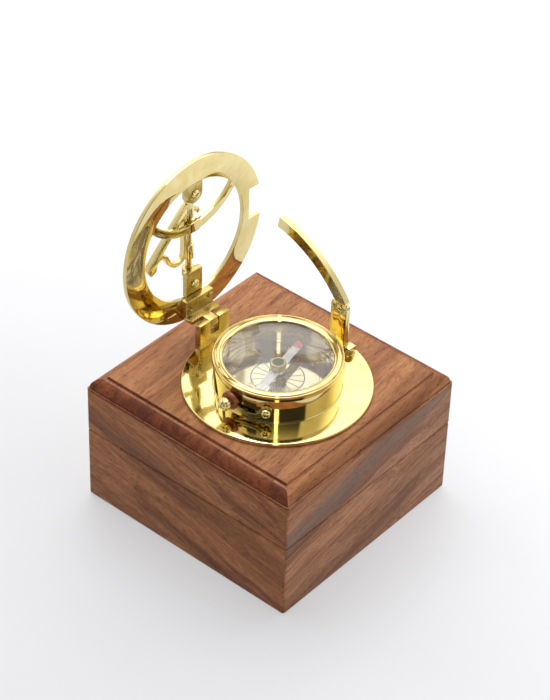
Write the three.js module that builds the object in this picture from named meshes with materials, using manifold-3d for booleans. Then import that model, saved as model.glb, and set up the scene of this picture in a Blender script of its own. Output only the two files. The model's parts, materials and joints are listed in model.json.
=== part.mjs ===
// Inclining (equinoctial) pocket sundial with a compass base, standing on its hinged wooden case.
// Millimetres, +Z up. Origin: centre of the underside of the case. -Y is the front of the case.
import * as THREE from 'three';
import { mergeVertices } from 'three/addons/utils/BufferGeometryUtils.js';
import Module from 'manifold-3d';

const wasm = await Module();
wasm.setup();

// ---------------------------------------------------------------- driving dimensions
const CASE_W = 102;           // across X
const CASE_D = 105;           // across Y
const CASE_H = 61;            // underside to the flat top of the lid
const PARTING_Z = 34.4;       // where base and lid meet
const LID_TOP_Z = 54.7;       // underside of the moulded top board
const WALL = 8;               // case wall thickness
const FLOOR_T = 6;
const EDGE_CHAMFER = 0.9;     // along the parting line

const PLATE_R = 38;           // brass base plate, a 3 inch disc
const PLATE_T = 1.5;
const DIAL_SPOT = [-2.9, -5.8];             // plate centre on the lid
const DIAL_TURN = THREE.MathUtils.degToRad(-2.7);

const BOWL_R = 25.6;          // compass wall, outside
const BOWL_BORE = 24.2;
const BOWL_FLOOR = 1.3;
const SPIGOT_R = 24.95;       // turned-down rim that the bezel fits over
const RIM_Z = 11.2;
const GLASS_T = 1.1;
const BEZEL_TOP = 13.4;
const VIEW_R = 21.8;          // clear radius of the glass

const HINGE_Y = 36.8;         // axis of the dial hinge, beyond the compass
const HINGE_Z = 9.2;
const HINGE_PIN_R = 0.8;
const RING_R = 37.3;          // hour ring
const RING_BORE = 27.1;
const RING_T = 2;
const RING_NEAR = 9.5;        // ring's near face, behind the hinge axis
const RING_UP = 35.3;         // ring's centre above the hinge axis

const AXLE_BACK = 13.2;       // gnomon axle, behind the hinge axis
const AXLE_R = 1.3;

const ARC_CENTRE = [40, -7.2];  // latitude arc: Y and Z of its centre
const ARC_IN = 51.3;
const ARC_OUT = 56.4;
const ARC_T = 2.6;
const ARC_FROM = 28;          // degrees above the horizontal
const ARC_TO = 80;
const POST_X = 31;            // inner face of the arc's post
const POST_Y = [-7, 1];
const PIN_Z = 22.1;
const PIN_R = 0.6;

const PIVOT_ANGLE = 213.5;    // needle lock: places round the bowl, degrees from +X
const KNOB_ANGLE = 181.5;
const TAB_ANGLE = 195.5;
const PIVOT_Z = 5.6;
const KNOB_Z = 6.8;

const FIT = 0.05;             // running clearance, per side
const FINE = 60;              // sides of a large round
const SMALL = 14;

// ---------------------------------------------------------------- solids
const FLAT = 1e-9;

// closed mesh with shared vertices, no collapsed triangles and outward faces
function closed(geometry) {
  const bare = geometry.clone();
  bare.deleteAttribute('normal');
  bare.deleteAttribute('uv');
  const merged = mergeVertices(bare, 1e-4);
  const p = merged.attributes.position.array;
  const index = [];
  let volume = 0;
  for (let i = 0; i < merged.index.count; i += 3) {
    const [a, b, c] = [0, 1, 2].map((k) => merged.index.getX(i + k));
    if (a === b || b === c || c === a) continue;
    index.push(a, b, c);
    const [va, vb, vc] = [a, b, c].map((k) => new THREE.Vector3().fromArray(p, 3 * k));
    volume += va.dot(vb.cross(vc));
  }
  if (volume < 0) index.reverse();
  return { vertProperties: Float32Array.from(p), triVerts: Uint32Array.from(index) };
}

function solid(geometry) {
  const { vertProperties, triVerts } = closed(geometry);
  const mesh = new wasm.Mesh({ numProp: 3, vertProperties, triVerts });
  return new wasm.Manifold(mesh);
}

function geometryOf(body) {
  const { vertProperties, triVerts } = body.getMesh();
  const geometry = new THREE.BufferGeometry();
  geometry.setAttribute('position', new THREE.BufferAttribute(vertProperties.slice(), 3));
  geometry.setIndex(new THREE.BufferAttribute(triVerts.slice(), 1));
  geometry.computeVertexNormals();
  return geometry;
}

const join = (...bodies) => bodies.reduce((a, b) => a.add(b));
const cut = (body, ...tools) => tools.reduce((a, b) => a.subtract(b), body);

function box([x0, x1], [y0, y1], [z0, z1]) {
  const g = new THREE.BoxGeometry(x1 - x0, y1 - y0, z1 - z0);
  return solid(g.translate((x0 + x1) / 2, (y0 + y1) / 2, (z0 + z1) / 2));
}

// revolves [radius, height] points about Z; the profile starts and ends on the axis, or closes
function turned(points, sides = FINE) {
  const profile = points.map(([r, z]) => new THREE.Vector2(r < FLAT ? 0 : r, z));
  return solid(new THREE.LatheGeometry(profile, sides).rotateX(Math.PI / 2));
}

const hoop = (outline, sides) => turned([...outline, outline[0]], sides);

const rod = (r, z0, z1, sides = SMALL) => turned([[0, z0], [r, z0], [r, z1], [0, z1]], sides);

const tube = (rIn, rOut, z0, z1, sides = FINE) =>
  hoop([[rIn, z0], [rOut, z0], [rOut, z1], [rIn, z1]], sides);

// lays a body that was made along +Z down along +X, +Y or a compass direction
const alongX = (body) => body.rotate([0, 90, 0]);
const alongY = (body) => body.rotate([-90, 0, 0]);
const outwards = (body, degrees) => body.rotate([0, 90, 0]).rotate([0, 0, degrees]);

// a mitred rectangular frame or board: a profile of [distance in from the side, height]
function mitred(points, wide, deep) {
  const half = Math.SQRT1_2 * wide;
  const profile = points.map(([inset, z]) => new THREE.Vector2(Math.max(0, half - inset * Math.SQRT2), z));
  const g = new THREE.LatheGeometry(profile, 4, Math.PI / 4).rotateX(Math.PI / 2);
  const y = g.attributes.position;
  for (let i = 0; i < y.count; i += 1) {
    const at = y.getY(i);
    if (Math.abs(at) > FLAT) y.setY(i, at + Math.sign(at) * (deep - wide) / 2);
  }
  return solid(g);
}

// a flat outline in X and Z, cut from sheet that runs from y0 to y1
function plate(shape, y0, y1, steps = 12) {
  const g = new THREE.ExtrudeGeometry(shape, { depth: y1 - y0, bevelEnabled: false, curveSegments: steps });
  return solid(g.rotateX(Math.PI / 2).translate(0, y1, 0));
}

// a flat bar bent along a centre line in X and Z, with square ends
function strip(points, width, y0, y1, steps = 30) {
  const line = new THREE.CatmullRomCurve3(points.map(([x, z]) => new THREE.Vector3(x, 0, z)));
  const edge = (side) => line.getSpacedPoints(steps).map((p, i) => {
    const t = line.getTangentAt(i / steps);
    return new THREE.Vector2(p.x - side * t.z, p.z + side * t.x);
  });
  return plate(new THREE.Shape([...edge(width / 2), ...edge(-width / 2).reverse()]), y0, y1, 1);
}

// sector of a flat ring in X and Z
function sector(cx, cz, rIn, rOut, fromDeg, toDeg) {
  const [a, b] = [fromDeg, toDeg].map(THREE.MathUtils.degToRad);
  const shape = new THREE.Shape();
  shape.absarc(cx, cz, rOut, a, b, false);
  shape.absarc(cx, cz, rIn, b, a, true);
  return shape;
}

// screw standing on z = 0 and pointing down; head is its profile above the shank
const screw = (head, shankR, length, sides = SMALL) =>
  turned([[0, -length], [shankR - 0.2, -length], [shankR, -length + 0.3], ...head], sides);

// ---------------------------------------------------------------- scene graph
const palette = {
  brass: [0xd9b25a, 0.22, 1],
  goldenBrass: [0xcfa23c, 0.3, 1],
  wood: [0x9a5f43, 0.55, 0],
  velvet: [0x17392c, 0.95, 0],
  glass: [0xeef2f4, 0.05, 0],
  white: [0xf2f2f0, 0.45, 0],
  jewel: [0x163f31, 0.15, 0],
  copper: [0x7a4136, 0.5, 0.6],
  steel: [0xa8a9a5, 0.35, 1],
};

function part(parent, name, body, look) {
  const [color, roughness, metalness] = palette[look];
  const material = new THREE.MeshStandardMaterial({ color, roughness, metalness });
  if (look === 'glass') Object.assign(material, { transparent: true, opacity: 0.3 });
  const mesh = new THREE.Mesh(geometryOf(body), material);
  mesh.name = name;
  parent.add(mesh);
}

const sundial = new THREE.Group();
const instrument = new THREE.Group();
instrument.position.set(DIAL_SPOT[0], DIAL_SPOT[1], CASE_H + PLATE_T);
instrument.rotation.z = DIAL_TURN;
const dial = new THREE.Group();
dial.position.set(0, HINGE_Y, HINGE_Z);
const gnomon = new THREE.Group();
gnomon.position.set(0, AXLE_BACK, RING_UP);
const arc = new THREE.Group();
arc.position.set(POST_X + ARC_T / 2, 0, PIN_Z);
sundial.add(instrument);
instrument.add(dial, arc);
dial.add(gnomon);

// ---------------------------------------------------------------- wooden case
const HINGE_AT = [-28, 28];                    // butt hinges along the back
const LEAF_W = 20;
const LEAF_T = 1.1;
const LEAF_FRONT = CASE_D / 2 - WALL + 0.6;
const BARREL = { y: CASE_D / 2 + 1.7, r: 1.6, pin: 0.7 };
const LEAF_SCREWS = [-6.5, 6.5];
const LEAF_SCREW_Y = CASE_D / 2 - WALL / 2;
const KNUCKLES = 5;

// wood screw with a countersunk head, pointing down from z = 0, and the hole that clears it
const WOOD_SCREW = { head: 1.9, shank: 0.95, sink: 0.9, length: 6 };
const woodScrew = () => screw(
  [[WOOD_SCREW.shank, -WOOD_SCREW.sink], [WOOD_SCREW.head, -0.05], [0, -0.05]],
  WOOD_SCREW.shank, WOOD_SCREW.length, 12);
const woodScrewHole = () => turned([
  [0, -WOOD_SCREW.length - 0.5], [WOOD_SCREW.shank + FIT, -WOOD_SCREW.length - 0.5],
  [WOOD_SCREW.shank + FIT, -WOOD_SCREW.sink], [WOOD_SCREW.head + FIT, 0], [WOOD_SCREW.head + FIT, 0.5],
  [0, 0.5]], 12);

// turns what was made for the base (below the parting plane) over for the lid
const flip = (body, isLid) => (isLid ? body.rotate([180, 0, 0]).translate([0, 2 * LEAF_SCREW_Y, 0]) : body);

function hingeMortise(x) {
  const w = LEAF_W / 2 + FIT;
  const h = LEAF_T + FIT;
  return box([x - w, x + w], [LEAF_FRONT - FIT, CASE_D], [PARTING_Z - h, PARTING_Z + h]);
}

function screwHoles(x, isLid) {
  return LEAF_SCREWS.map((dx) => flip(woodScrewHole().translate([0, LEAF_SCREW_Y, 0]), isLid)
    .translate([x + dx, 0, PARTING_Z + (isLid ? FIT : -FIT)]));
}

function makeCase() {
  const inside = [CASE_W - 2 * WALL, CASE_D - 2 * WALL];
  const walls = mitred([
    [1, 0], [0, 1], [0, PARTING_Z - EDGE_CHAMFER], [EDGE_CHAMFER, PARTING_Z], [WALL, PARTING_Z],
    [WALL, 0], [1, 0]], CASE_W, CASE_D);
  const lidFoot = PARTING_Z;
  const lidWalls = mitred([
    [EDGE_CHAMFER, lidFoot], [0, lidFoot + EDGE_CHAMFER], [0, LID_TOP_Z], [WALL, LID_TOP_Z],
    [WALL, lidFoot], [EDGE_CHAMFER, lidFoot]], CASE_W, CASE_D);
  const mortises = HINGE_AT.map(hingeMortise);
  const holes = (isLid) => HINGE_AT.flatMap((x) => screwHoles(x, isLid));
  part(sundial, 'case_walls', cut(walls, ...mortises, ...holes(false)), 'wood');
  part(sundial, 'lid_walls', cut(lidWalls, ...mortises, ...holes(true)), 'wood');

  const [hx, hy] = inside.map((d) => d / 2 - FIT);
  part(sundial, 'case_floor', box([-hx, hx], [-hy, hy], [0, FLOOR_T]), 'wood');

  // moulded top board: a square step, an ovolo, then a fillet up to the flat raised field
  const step = { width: 0.8, height: 0.9 };
  const round = 4.4;
  const ovolo = [0, 18, 36, 54, 72, 90].map(THREE.MathUtils.degToRad).map((a) =>
    [step.width + round * (1 - Math.cos(a)), LID_TOP_Z + step.height + round * Math.sin(a)]);
  const field = step.width + round + 0.8;
  const top = mitred([
    [CASE_W / 2, LID_TOP_Z], [0, LID_TOP_Z], [0, LID_TOP_Z + step.height], ...ovolo,
    [field, LID_TOP_Z + step.height + round], [field, CASE_H], [CASE_W / 2, CASE_H]], CASE_W, CASE_D);
  part(sundial, 'lid_top', top, 'wood');

  const trayTop = PARTING_Z - 1;
  const nest = rod(PLATE_R + 2.5, FLOOR_T + 4, trayTop + 1, FINE);
  const board = (z0, z1) => box([-hx + 0.3, hx - 0.3], [-hy + 0.3, hy - 0.3], [z0, z1]);
  part(sundial, 'nest_tray', cut(board(FLOOR_T, trayTop), nest), 'velvet');
  part(sundial, 'lid_lining', board(LID_TOP_Z - 1.6, LID_TOP_Z), 'velvet');
}

function makeCaseHinge(number, x) {
  const step = LEAF_W / KNUCKLES;
  const barrel = alongX(rod(BARREL.r, -LEAF_W / 2, LEAF_W / 2, SMALL)).translate([x, BARREL.y, PARTING_Z]);
  const bore = alongX(rod(BARREL.pin + FIT, -LEAF_W, LEAF_W, SMALL)).translate([x, BARREL.y, PARTING_Z]);
  const knuckle = (k, grow) => box(
    [x - LEAF_W / 2 + k * step - grow, x - LEAF_W / 2 + (k + 1) * step + grow],
    [CASE_D / 2 + 0.05, CASE_D], [PARTING_Z - 3, PARTING_Z + 3]);
  for (const isLid of [false, true]) {
    const label = `case_hinge_${number}_${isLid ? 'lid' : 'base'}`;
    const z = isLid ? [PARTING_Z + FIT, PARTING_Z + LEAF_T] : [PARTING_Z - LEAF_T, PARTING_Z - FIT];
    let leaf = box([x - LEAF_W / 2, x + LEAF_W / 2], [LEAF_FRONT, BARREL.y], z).add(barrel);
    for (let k = 0; k < KNUCKLES; k += 1) {
      if ((k % 2 === 1) !== isLid) leaf = leaf.subtract(knuckle(k, 0.1));
    }
    part(sundial, `${label}_leaf`, cut(leaf, bore, ...screwHoles(x, isLid)), 'goldenBrass');
    LEAF_SCREWS.forEach((dx, i) => {
      const body = flip(woodScrew().translate([0, LEAF_SCREW_Y, 0]), isLid)
        .translate([x + dx, 0, PARTING_Z + (isLid ? FIT : -FIT)]);
      part(sundial, `${label}_screw_${i + 1}`, body, 'goldenBrass');
    });
  }
  const pin = alongX(rod(BARREL.pin, -LEAF_W / 2, LEAF_W / 2, SMALL)).translate([x, BARREL.y, PARTING_Z]);
  part(sundial, `case_hinge_${number}_pin`, pin, 'steel');
}

// ---------------------------------------------------------------- compass
const BOWL_SCREWS = [90, 210, 330].map(THREE.MathUtils.degToRad)
  .map((a) => [18 * Math.cos(a), 18 * Math.sin(a)]);
const BRACKET_X = [-5.3, 5.3];
const BRACKET_Y = [HINGE_Y - 2, HINGE_Y + 0.8];
const BRACKET_SCREW_Y = HINGE_Y - 0.6;
const POST_SCREW = [POST_X + ARC_T / 2, -3];

// small countersunk screw driven up through the base plate, and the hole that clears it
const plateScrew = (length, r) => turned([
  [0, -PLATE_T], [r + 0.8, -PLATE_T], [r, -PLATE_T + 0.8], [r, length], [0, length]], SMALL);
const plateScrewHole = (length, r) => turned([
  [0, -PLATE_T - 0.5], [r + 0.8 + FIT, -PLATE_T - 0.5], [r + 0.8 + FIT, -PLATE_T],
  [r + FIT, -PLATE_T + 0.8], [r + FIT, length + 0.3], [0, length + 0.3]], SMALL);

const UNDER_SCREWS = [
  ...BOWL_SCREWS.map(([x, y], i) => ({ name: `bowl_screw_${i + 1}`, x, y, length: 1.2, r: 1 })),
  ...BRACKET_X.map((x, i) =>
    ({ name: `bracket_screw_${i + 1}`, x, y: BRACKET_SCREW_Y, length: 3.5, r: 0.8 })),
  { name: 'post_screw', x: POST_SCREW[0], y: POST_SCREW[1], length: 5, r: 0.8 },
];
const underHoles = () => UNDER_SCREWS.map((s) => plateScrewHole(s.length, s.r).translate([s.x, s.y, 0]));

function makeCompass() {
  const disc = turned([
    [0, -PLATE_T], [PLATE_R - 0.3, -PLATE_T], [PLATE_R, -PLATE_T + 0.3], [PLATE_R, -0.3],
    [PLATE_R - 0.3, 0], [0, 0]]);
  part(instrument, 'base_plate', cut(disc, ...underHoles()), 'brass');
  for (const s of UNDER_SCREWS) {
    part(instrument, s.name, plateScrew(s.length, s.r).translate([s.x, s.y, 0]), 'brass');
  }

  const foot = BOWL_R + 0.7;
  const wall = turned([
    [0, 0], [foot, 0], [foot, 0.45], [BOWL_R, 1.1], [BOWL_R, RIM_Z - 0.6], [SPIGOT_R, RIM_Z - 0.6],
    [SPIGOT_R, RIM_Z], [BOWL_BORE, RIM_Z], [BOWL_BORE, BOWL_FLOOR], [0, BOWL_FLOOR]]);
  const slot = box([BOWL_R - 4, BOWL_R + 2], [-3.7, 3.7], [3.4, 6.2]).rotate([0, 0, TAB_ANGLE]);
  const pivotHole = outwards(rod(0.9, 20, 30), PIVOT_ANGLE).translate([0, 0, PIVOT_Z]);
  part(instrument, 'compass_bowl', cut(wall, slot, pivotHole, ...underHoles()), 'brass');

  const glassZ = RIM_Z + 0.02;
  part(instrument, 'compass_glass', rod(SPIGOT_R - 0.1, glassZ, glassZ + GLASS_T, FINE), 'glass');
  const lip = glassZ + GLASS_T + 0.03;
  part(instrument, 'bezel', hoop([
    [SPIGOT_R + FIT, RIM_Z - 0.55], [BOWL_R + 0.3, RIM_Z - 0.55], [BOWL_R + 0.35, BEZEL_TOP - 0.8],
    [BOWL_R - 0.1, BEZEL_TOP - 0.1], [BOWL_R - 0.7, BEZEL_TOP], [BOWL_R - 1.2, BEZEL_TOP - 0.35],
    [BOWL_R - 1.8, BEZEL_TOP - 0.15], [VIEW_R + 0.9, BEZEL_TOP - 0.25], [VIEW_R, lip + 0.35],
    [VIEW_R, lip], [SPIGOT_R + FIT, lip]]), 'brass');

  const cardZ = BOWL_FLOOR;
  part(instrument, 'compass_card', rod(BOWL_BORE - 0.3, cardZ, cardZ + 0.7, FINE), 'goldenBrass');
  const cardTop = cardZ + 0.7;
  part(instrument, 'pivot_pin', turned([
    [0, cardTop], [1.5, cardTop], [1.5, cardTop + 0.6], [0.45, cardTop + 1.4], [0.4, 7.2], [0, 8.6]], 16),
  'steel');
}

const NEEDLE_TURN = 15;       // degrees from +X
const NEEDLE_HALF = 20.5;
const NEEDLE_W = 3.6;
const NEEDLE_Z = [6.2, 6.7];
const CAP_R = 3.2;
const STEM_R = 1.9;

function makeNeedle() {
  const slant = 3;
  const bar = new THREE.Shape([
    [-NEEDLE_HALF, -NEEDLE_W / 2], [NEEDLE_HALF - slant, -NEEDLE_W / 2], [NEEDLE_HALF, NEEDLE_W / 2],
    [-NEEDLE_HALF + slant, NEEDLE_W / 2]].map(([x, y]) => new THREE.Vector2(x, y)));
  const thickness = NEEDLE_Z[1] - NEEDLE_Z[0];
  const flat = new THREE.ExtrudeGeometry(bar, { depth: thickness, bevelEnabled: false });
  const sheet = solid(flat.translate(0, 0, NEEDLE_Z[0]));
  const hub = rod(STEM_R + 1.1, ...NEEDLE_Z, 24);
  const needle = cut(join(sheet, hub), rod(STEM_R + FIT, 0, 10, 24)).rotate([0, 0, NEEDLE_TURN]);
  part(instrument, 'compass_needle', needle, 'white');

  const capFoot = NEEDLE_Z[1] + 0.05;
  const seat = 9.4;
  part(instrument, 'needle_cap', turned([
    [0, 8.9], [1.2, 8.3], [1.2, 5.6], [STEM_R, 5.6], [STEM_R, capFoot], [CAP_R, capFoot],
    [CAP_R, 9.5], [CAP_R - 0.3, 9.8], [2.3, 9.8], [2.3, seat], [0, seat]], 32), 'brass');
  part(instrument, 'cap_jewel', turned([
    [0, seat], [2.2, seat], [2.2, 9.75], [1.9, 10.05], [1, 10.25], [0, 10.3]], 24), 'jewel');
}

function makeNeedleLock() {
  const lifterZ = [4.45, 5];
  const arm = box([3, BOWL_R + 1.3], [-0.9, 0.9], lifterZ).rotate([0, 0, TAB_ANGLE]);
  const collar = rod(3.6, ...lifterZ, 24);
  part(instrument, 'needle_lifter', cut(join(collar, arm), rod(2.1, 0, 10, 24)), 'goldenBrass');

  const shell = tube(BOWL_R + 0.4, BOWL_R + 1.2, 1, 10);
  const reach = (BOWL_R + 0.8) * Math.sin(THREE.MathUtils.degToRad((PIVOT_ANGLE - KNOB_ANGLE) / 2));
  const outline = strip([
    [-reach, KNOB_Z], [-reach * 0.55, 3.6], [0, 3.1], [reach * 0.6, 4], [reach, PIVOT_Z]], 1.9, -1, 30);
  const ends = [[-reach, KNOB_Z, 2.1], [reach, PIVOT_Z, 2]].map(([t, z, r]) =>
    alongY(rod(r, -1, 30, 20)).translate([t, 0, z]));
  // the outline was drawn facing +Y, with +X to its right, so it turns to face the tab
  const blank = join(outline, ...ends).rotate([0, 0, TAB_ANGLE - 90 + 2]);
  const holes = [[KNOB_ANGLE, KNOB_Z], [PIVOT_ANGLE, PIVOT_Z]].map(([a, z]) =>
    outwards(rod(0.95, 20, 30), a).translate([0, 0, z]));
  part(instrument, 'lock_lever', cut(shell.intersect(blank), ...holes), 'brass');

  const face = BOWL_R + 1.25;
  part(instrument, 'lever_pivot_screw', outwards(turned([
    [0, 24.5], [0.85, 24.5], [0.85, face], [1.9, face], [1.75, face + 0.8], [1.1, face + 1.4],
    [0, face + 1.6]], SMALL), PIVOT_ANGLE).translate([0, 0, PIVOT_Z]), 'brass');
  const washerFace = face + 1.4;
  part(instrument, 'lock_washer', outwards(tube(0.95, 3.8, face, washerFace, 32), KNOB_ANGLE)
    .translate([0, 0, KNOB_Z]), 'copper');
  const ballR = 2.75;
  const ballAt = washerFace + 2.2;
  const ball = [-48, -24, 0, 24, 48, 72].map(THREE.MathUtils.degToRad)
    .map((a) => [ballR * Math.cos(a), ballAt + ballR * Math.sin(a)]);
  part(instrument, 'lock_knob', outwards(turned([
    [0, BOWL_R + 0.5], [0.88, BOWL_R + 0.5], [0.88, washerFace + 0.05], [1.84, washerFace + 0.05],
    ...ball, [0, ballAt + ballR]], 28), KNOB_ANGLE).translate([0, 0, KNOB_Z]), 'brass');
}

// ---------------------------------------------------------------- hour ring and its hinge
const BRACKET_HALF = 8.3;
const SLOT = [-2.35, 2.35];
const SLOT_FLOOR = 4.7;
const BRACKET_TOP = 11.8;
const TONGUE_HALF = 2.25;
const LEAF_HALF = 7.4;
const LEAF_Y = [6.4, RING_NEAR - 0.05];       // from the hinge axis
const LEAF_Z = [1.2, 9.4];
const LEAF_SCREW_AT = [[-5.6, 4.2], [5.6, 7]];
const LUG_Y = [RING_NEAR + 0.1, RING_NEAR + 2.4];
const LUG_HOLE = 21.9;                        // upper cross screw, above the ring's centre
const LOWER_SCREW = -21.5;
const NOTCH = { x: 30.6, low: -5.3, high: 9.3 };   // lets the latitude arc through
const CROSS = { x: -1, z: 34.5, r: 28.3, width: 3.5, span: 57 };   // cross bow, cast with the ring

function makeDialHinge() {
  const block = cut(box([-BRACKET_HALF, BRACKET_HALF], BRACKET_Y, [0, BRACKET_TOP]),
    box(SLOT, [BRACKET_Y[0] - 1, BRACKET_Y[1] + 1], [SLOT_FLOOR, 20]),
    alongX(rod(HINGE_PIN_R + 0.02, -20, 20)).translate([0, HINGE_Y, HINGE_Z]), ...underHoles());
  part(instrument, 'hinge_bracket', block, 'goldenBrass');
  part(instrument, 'dial_hinge_pin', alongX(rod(HINGE_PIN_R, -BRACKET_HALF, BRACKET_HALF))
    .translate([0, HINGE_Y, HINGE_Z]), 'steel');

  // leaf behind, shelf below it and the tongue that reaches forward between the ears
  const leaf = box([-LEAF_HALF, LEAF_HALF], LEAF_Y, LEAF_Z);
  const shelf = box([-LEAF_HALF - 0.4, LEAF_HALF + 0.4], [3, LEAF_Y[1]], [0.6, 2.4]);
  const tongue = box([-TONGUE_HALF, TONGUE_HALF], [-1.6, LEAF_Y[1] - 1], [-1.2, 2.4]);
  const knuckle = alongX(rod(1.9, -TONGUE_HALF, TONGUE_HALF, 24));
  const bore = alongX(rod(HINGE_PIN_R + FIT, -20, 20));
  const screwHole = ([x, z]) => alongY(rod(0.75, 0, 20, 12)).translate([x, 0, z]);
  const blank = join(leaf, shelf, tongue, knuckle);
  part(dial, 'ring_leaf', cut(blank, bore, ...LEAF_SCREW_AT.map(screwHole)), 'goldenBrass');
  LEAF_SCREW_AT.forEach(([x, z], i) => {
    const body = alongY(turned([
      [0, LEAF_Y[0] - 0.5], [0.9, LEAF_Y[0] - 0.5], [1.25, LEAF_Y[0] - 0.25], [1.25, LEAF_Y[0] - 0.03],
      [0.7, LEAF_Y[0] - 0.03], [0.7, RING_NEAR + 1.6], [0, RING_NEAR + 1.6]], 16)).translate([x, 0, z]);
    part(dial, `leaf_screw_${i + 1}`, body, 'goldenBrass');
  });
}

function makeRing() {
  const y = [RING_NEAR, RING_NEAR + RING_T];
  const outline = new THREE.Shape().absarc(0, 0, RING_R, 0, 2 * Math.PI, false);
  outline.holes.push(new THREE.Path().absarc(0, 0, RING_BORE, 0, 2 * Math.PI, true));
  const hoopBody = plate(outline, ...y, FINE / 2);
  const middle = 270;
  const bow = plate(sector(CROSS.x, CROSS.z, CROSS.r - CROSS.width / 2, CROSS.r + CROSS.width / 2,
    middle - CROSS.span, middle + CROSS.span), ...y, 12);
  const inside = new THREE.Shape().absarc(0, 0, RING_BORE + 1, 0, 2 * Math.PI, false);
  const inRing = plate(inside, ...y, FINE / 2);
  const saddle = box([-2.8, 2.8], [y[0], y[1] + 0.2], [4, 8.6]);
  const notch = box([NOTCH.x, RING_R + 5], [0, 30], [NOTCH.low, NOTCH.high]);
  const taps = LEAF_SCREW_AT.map(([x, z]) =>
    alongY(rod(0.75, 0, RING_NEAR + 1.7, 12)).translate([x, 0, z - RING_UP]));
  const ring = cut(join(hoopBody, bow.intersect(inRing), saddle), notch, ...taps);
  part(dial, 'dial_ring', ring.translate([0, 0, RING_UP]), 'brass');
}

function makeLugs() {
  const bore = rod(AXLE_R + 0.03, -40, 40).translate([0, AXLE_BACK, 0]);
  const inside = alongY(rod(RING_BORE - 0.06, 0, 30, FINE));
  const boss = (z0, z1) => join(rod(2.6, z0, z1, 24).translate([0, AXLE_BACK, 0]),
    box([-2.6, 2.6], [LUG_Y[1] - 0.5, AXLE_BACK], [z0, z1]));

  const hole = (z) => alongY(rod(1, 0, 12.2, 16)).translate([0, 0, z]);
  const upper = join(box([-4, 4], LUG_Y, [LUG_HOLE, 30]).intersect(inside),
    alongY(rod(4, ...LUG_Y, 32)).translate([0, 0, LUG_HOLE]), boss(18.3, 24));
  part(dial, 'upper_lug', cut(upper, bore, hole(LUG_HOLE)).translate([0, 0, RING_UP]), 'goldenBrass');

  const through = alongY(rod(1, 0, 30, 16)).translate([0, 0, LOWER_SCREW]);
  const lower = join(box([-4.3, 4.3], LUG_Y, [-28, -15]).intersect(inside), boss(-18.9, -15.1));
  part(dial, 'lower_lug', cut(lower, bore, through).translate([0, 0, RING_UP]), 'goldenBrass');

  const headY = LUG_Y[0] - 0.03;
  const panScrew = (tipY, z) => alongY(turned([
    [0, headY - 1.1], [1.4, headY - 1], [2, headY - 0.6], [2, headY], [0.95, headY], [0.95, tipY],
    [0, tipY]], 24)).translate([0, 0, RING_UP + z]);
  part(dial, 'upper_lug_screw', panScrew(LUG_Y[1] - 0.4, LUG_HOLE), 'goldenBrass');
  part(dial, 'lower_lug_screw', panScrew(AXLE_BACK + 1.3, LOWER_SCREW), 'goldenBrass');
  const nutY = LUG_Y[1] + 0.05;
  const nutR = 2.1;
  const globe = [-45, -15, 15, 45].map(THREE.MathUtils.degToRad)
    .map((a) => [nutR * Math.cos(a), nutY + 1.6 + nutR * Math.sin(a)]);
  part(dial, 'lower_lug_nut', alongY(hoop([[1, nutY], ...globe, [1, nutY + 3.2]], 24))
    .translate([0, 0, RING_UP + LOWER_SCREW]), 'goldenBrass');
  part(dial, 'gnomon_axle', rod(AXLE_R, -18.7, 23.8, 24).translate([0, AXLE_BACK, RING_UP]), 'goldenBrass');
}

// style bar, foot, scroll and the two barrels that turn on the axle; folded flat towards -X
function makeGnomon() {
  const y = [-1.2, 1.2];
  const style = strip([[-1.4, 15.6], [-11, 5.9], [-21.6, -4.8]], 3, ...y, 8);
  const hoofPoints = [[-19.6, -1.2], [-23.4, -5.2], [-21.4, -8.6], [-18.6, -7.2], [-17.6, -3.4]];
  const hoof = plate(new THREE.Shape(hoofPoints.map(([x, z]) => new THREE.Vector2(x, z))), ...y, 1);
  const scroll = strip([[-19.6, -4.6], [-16.6, -2.2], [-13.6, -3], [-11, -7.6], [-7, -9.9], [-3.3, -8.2],
    [-2.7, -3.5], [-2.7, 4], [-2.7, 13.5]], 1.9, ...y, 32);
  const loop = strip([[-7, 10.2], [-3.6, 10.8], [0, 11.6]], 2, ...y, 6);
  const spur = strip([[0, 11.4], [2.8, 12.4], [4.4, 11.4], [4.7, 9.6]], 1.5, y[0] + 0.3, y[1] - 0.3, 8);
  const barrels = [[9.6, 17.6], [-10.2, -3.2]].map(([z0, z1]) => rod(2.1, z0, z1, 24));
  const web = box([-3, 0], y, [-9.4, -3.4]);
  const body = join(style, hoof, scroll, loop, spur, web, ...barrels);
  part(gnomon, 'gnomon', cut(body, rod(AXLE_R + FIT, -30, 30, 24)), 'goldenBrass');
}

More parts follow.
